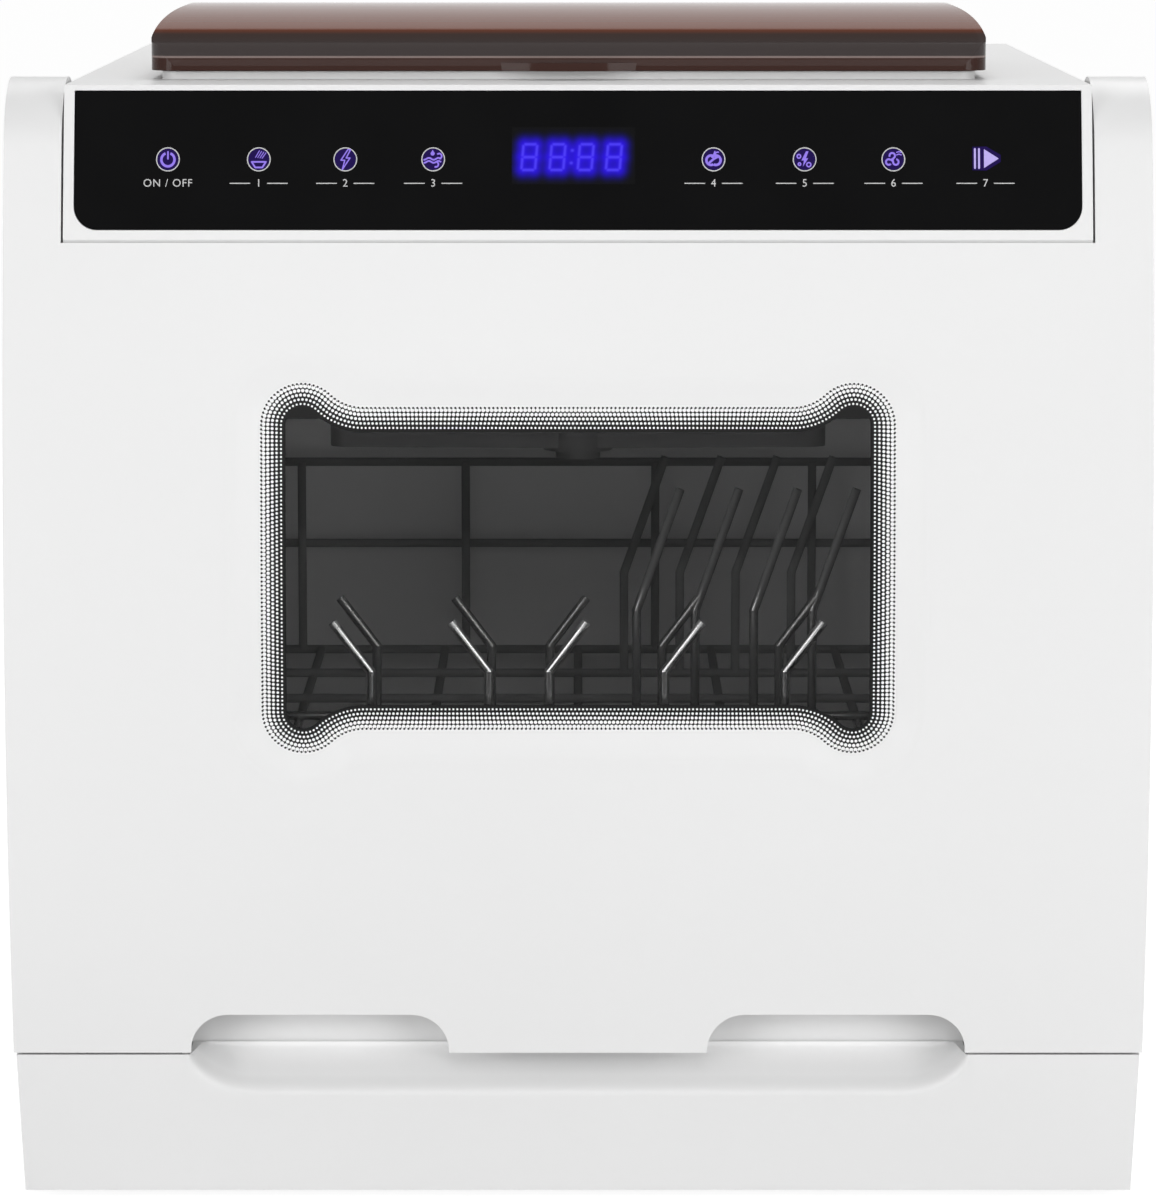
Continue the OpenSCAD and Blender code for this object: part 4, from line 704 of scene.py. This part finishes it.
def smooth_skin(name, rows, closed, material, body):
    """A smooth sheet through rows of points, each as long as the next."""
    mesh = bmesh.new()
    grid = [[mesh.verts.new(point) for point in row] for row in rows]
    count = len(grid[0])
    for lower, upper in zip(grid, grid[1:]):
        for i in range(count if closed else count - 1):
            j = (i + 1) % count
            mesh.faces.new([lower[i], lower[j], upper[j], upper[i]]).smooth = True
    data = bpy.data.meshes.new(name)
    mesh.to_mesh(data)
    mesh.free()
    return new_piece(name, data, material, body)


def make_window():
    """The dish's skin, the black band with its white line, the dots and the pinholes between them."""
    dish = []
    for out in DISH_LOOPS:
        depth = max(0.0, DISH_DEPTH * (1 - out / DISH_W)) - SKIN_LIFT
        dish.append([(x, max(front_y(z, depth), CAD_BOX[0][1]), z) for x, z in window_outline(-out)])
    smooth_skin("window_dish", dish, True, WHITE, "door")

    for name, material, slot, edges in (("window_print", ENAMEL, "white_cover", PRINT_EDGES),
            ("window_border", BLACK_INK, "clear_glass", BORDER_EDGES)):
        rows = []
        for inset in edges:
            top = BORDER_TOP if inset == BORDER_W else WINDOW_Z[1] + LOBE_RISE
            rows.append([(x, front_y(min(z, top), GLASS_SET - PRINT_LIFT), min(z, top))
                for x, z in window_outline(inset)])
        smooth_skin(name, rows, True, material, "door")

    first = window_outline(FIRST_ROW)
    length = sum(math.dist(p, q) for p, q in zip(first, first[1:] + first[:1]))
    count = round(length / DOT_PITCH)
    dots = Print(GLASS_SET, 3 * PRINT_LIFT)
    for row, r in enumerate(DOT_R):
        for point in even_points(window_outline(FIRST_ROW + row * ROW_PITCH), count, row % 2 / 2):
            dots.disc(point, r, DOT_SIDES)
    dots.piece("window_dots", ENAMEL, "door", "white_cover")

    holes = Print(GLASS_SET, 4 * PRINT_LIFT)
    for point in even_points(window_outline(FIRST_ROW - ROW_PITCH / 2), count, 0.5):
        holes.disc(point, HOLE_R, HOLE_SIDES)
    holes.piece("window_holes", BLACK_INK, "door", "clear_glass")


# ---- Finger scoop: the smooth hollow in the base, under the seam ----
SCOOP_X = 0.145                                   # half its length
SCOOP_Z = 0.0426                                  # its lower edge
SCOOP_TOP = 0.0588                                # the shelf's height, at the seam
SCOOP_DEPTH = 0.0214
SCOOP_END = (0.026, 0.0045)                       # how far the hollow's end runs in, low down and at the seam
SCOOP_EDGE = 0.0015                               # how far its skin laps the front
# Painted light: the hollow's white is painted paler with depth, against the shade in it.
SCOOP_PAINTED_LIGHT_DEPTH = 0.006                                # depth over which it grows paler
SCOOP_COLUMNS = 120
SCOOP_ROWS = 18


def scoop_depth(x, z):
    """Depth of the hollow behind the crowned front."""
    rise = (z - SCOOP_Z) / (SCOOP_TOP - SCOOP_Z)
    end = SCOOP_END[0] + (SCOOP_END[1] - SCOOP_END[0]) * max(0.0, min(1.0, rise)) ** 2
    away = Vector((max(0.0, 1 - (SCOOP_X - abs(x)) / end), max(0.0, 1 - rise)))
    share = max(0.0, 1 - away.length)
    return SCOOP_DEPTH * share ** 2 * (3 - 2 * share)


def make_scoop():
    """The hollow's skin, and the shelf that closes it at the seam."""
    white = scoop_painted_light()
    half = SCOOP_X + SCOOP_EDGE
    xs = [half * math.sin(math.pi * (i / SCOOP_COLUMNS - 0.5)) for i in range(SCOOP_COLUMNS + 1)]
    foot = SCOOP_Z - SCOOP_EDGE
    rows = []
    for j in range(SCOOP_ROWS + 1):
        z = foot + (SCOOP_TOP - foot) * j / SCOOP_ROWS
        rows.append([(x, front_y(z, scoop_depth(x, z) - SKIN_LIFT), z) for x in xs])
    smooth_skin("scoop_skin", rows, False, white, "cabinet")

    back = front_y(SCOOP_TOP, SCOOP_DEPTH + SKIN_LIFT)
    inner = [x for x in xs if abs(x) < SCOOP_X]
    shelf = [[(x, min(back, front_y(SCOOP_TOP, scoop_depth(x, SCOOP_TOP))), SCOOP_TOP) for x in inner],
        [(x, back, SCOOP_TOP) for x in inner]]
    smooth_skin("scoop_shelf", shelf, False, white, "cabinet")


# ---- Stage ----
CAMERA_AT = (0, -2.075, 0.507)
CAMERA_PITCH = 8.4
CAMERA_LENS = 154.9
SENSOR_W = 36
VIEW_REACH = 100
FILL_LIGHT = 0.30
FLOOR_HALF = 30
FLOOR_TONE = (0.82, 0.82, 0.82, 1)
SHADED_TONE = (0.42, 0.42, 0.42, 1)               # the part of the seen floor that takes shadows
FLOOR_GLOW = 0.86                                 # and the part that stays
LAMPS = {                                         # place, aim, size and power
    "left": ((-1.9, -2.3, 0.34), (0, 0, 0.1), 1.5, 35.5),
    "right": ((1.9, -2.3, 0.34), (0, 0, 0.1), 1.5, 35.5),
    "front": ((0, -2.4, 1.4), (0, 0, 0.15), 1.2, 9.5),
    "top": ((0.2, 1.1, 2.2), (0, 0, 0.4), 1.4, 21),
}


def make_camera():
    data = bpy.data.cameras.new("camera")
    data.lens = CAMERA_LENS
    data.sensor_width = SENSOR_W
    data.clip_end = VIEW_REACH
    camera = place("camera", data, CAMERA_AT)
    camera.rotation_euler = (math.radians(90 - CAMERA_PITCH), 0, 0)
    bpy.context.scene.camera = camera


def make_world():
    """White to the camera, in mirrors and through glass, and a plain fill light on the object."""
    world = bpy.data.worlds.new("studio")
    bpy.context.scene.world = world
    graph = Graph(world)
    seen, fill = graph.add("Background"), graph.add("Background")
    for background in (seen, fill):
        background.inputs["Color"].default_value = (1, 1, 1, 1)
    fill.inputs["Strength"].default_value = FILL_LIGHT
    mix = graph.mix(graph.seen_directly(), fill.outputs[0], seen.outputs[0])
    graph.link(mix, graph.add("OutputWorld").inputs["Surface"])


def make_floor():
    """A plain pale floor, white to the camera, that keeps the object's shadow."""
    graph = new_graph("floor")
    plain, shaded = graph.add("BsdfDiffuse"), graph.add("BsdfDiffuse")
    plain.inputs["Color"].default_value = FLOOR_TONE
    shaded.inputs["Color"].default_value = SHADED_TONE
    lit = graph.add("Emission")
    lit.inputs["Strength"].default_value = FLOOR_GLOW
    both = graph.add("AddShader")
    graph.link(shaded.outputs[0], both.inputs[0])
    graph.link(lit.outputs[0], both.inputs[1])
    mix = graph.mix(graph.seen_directly(), plain.outputs[0], both.outputs[0])
    graph.link(mix, graph.add("OutputMaterial").inputs["Surface"])

    half = FLOOR_HALF
    data = bpy.data.meshes.new("floor")
    data.from_pydata([(-half, -half, 0), (half, -half, 0), (half, half, 0), (-half, half, 0)], [],
        [(0, 1, 2, 3)])
    data.materials.append(graph.owner)
    floor = place("floor", data)


def make_lamps():
    for name, (spot, aim, size, power) in LAMPS.items():
        data = bpy.data.lights.new(name, "AREA")
        data.size = size
        data.energy = power
        lamp = place(name, data, spot)
        lamp.rotation_euler = (Vector(aim) - Vector(spot)).to_track_quat("-Z", "Y").to_euler()


make_camera()
make_world()
make_floor()
make_lamps()
dress_nodes()
soften_nodes()
make_legends()
make_display()
make_window()
make_scoop()

bpy.context.scene.view_settings.view_transform = "Standard"
bpy.context.view_layer.update()
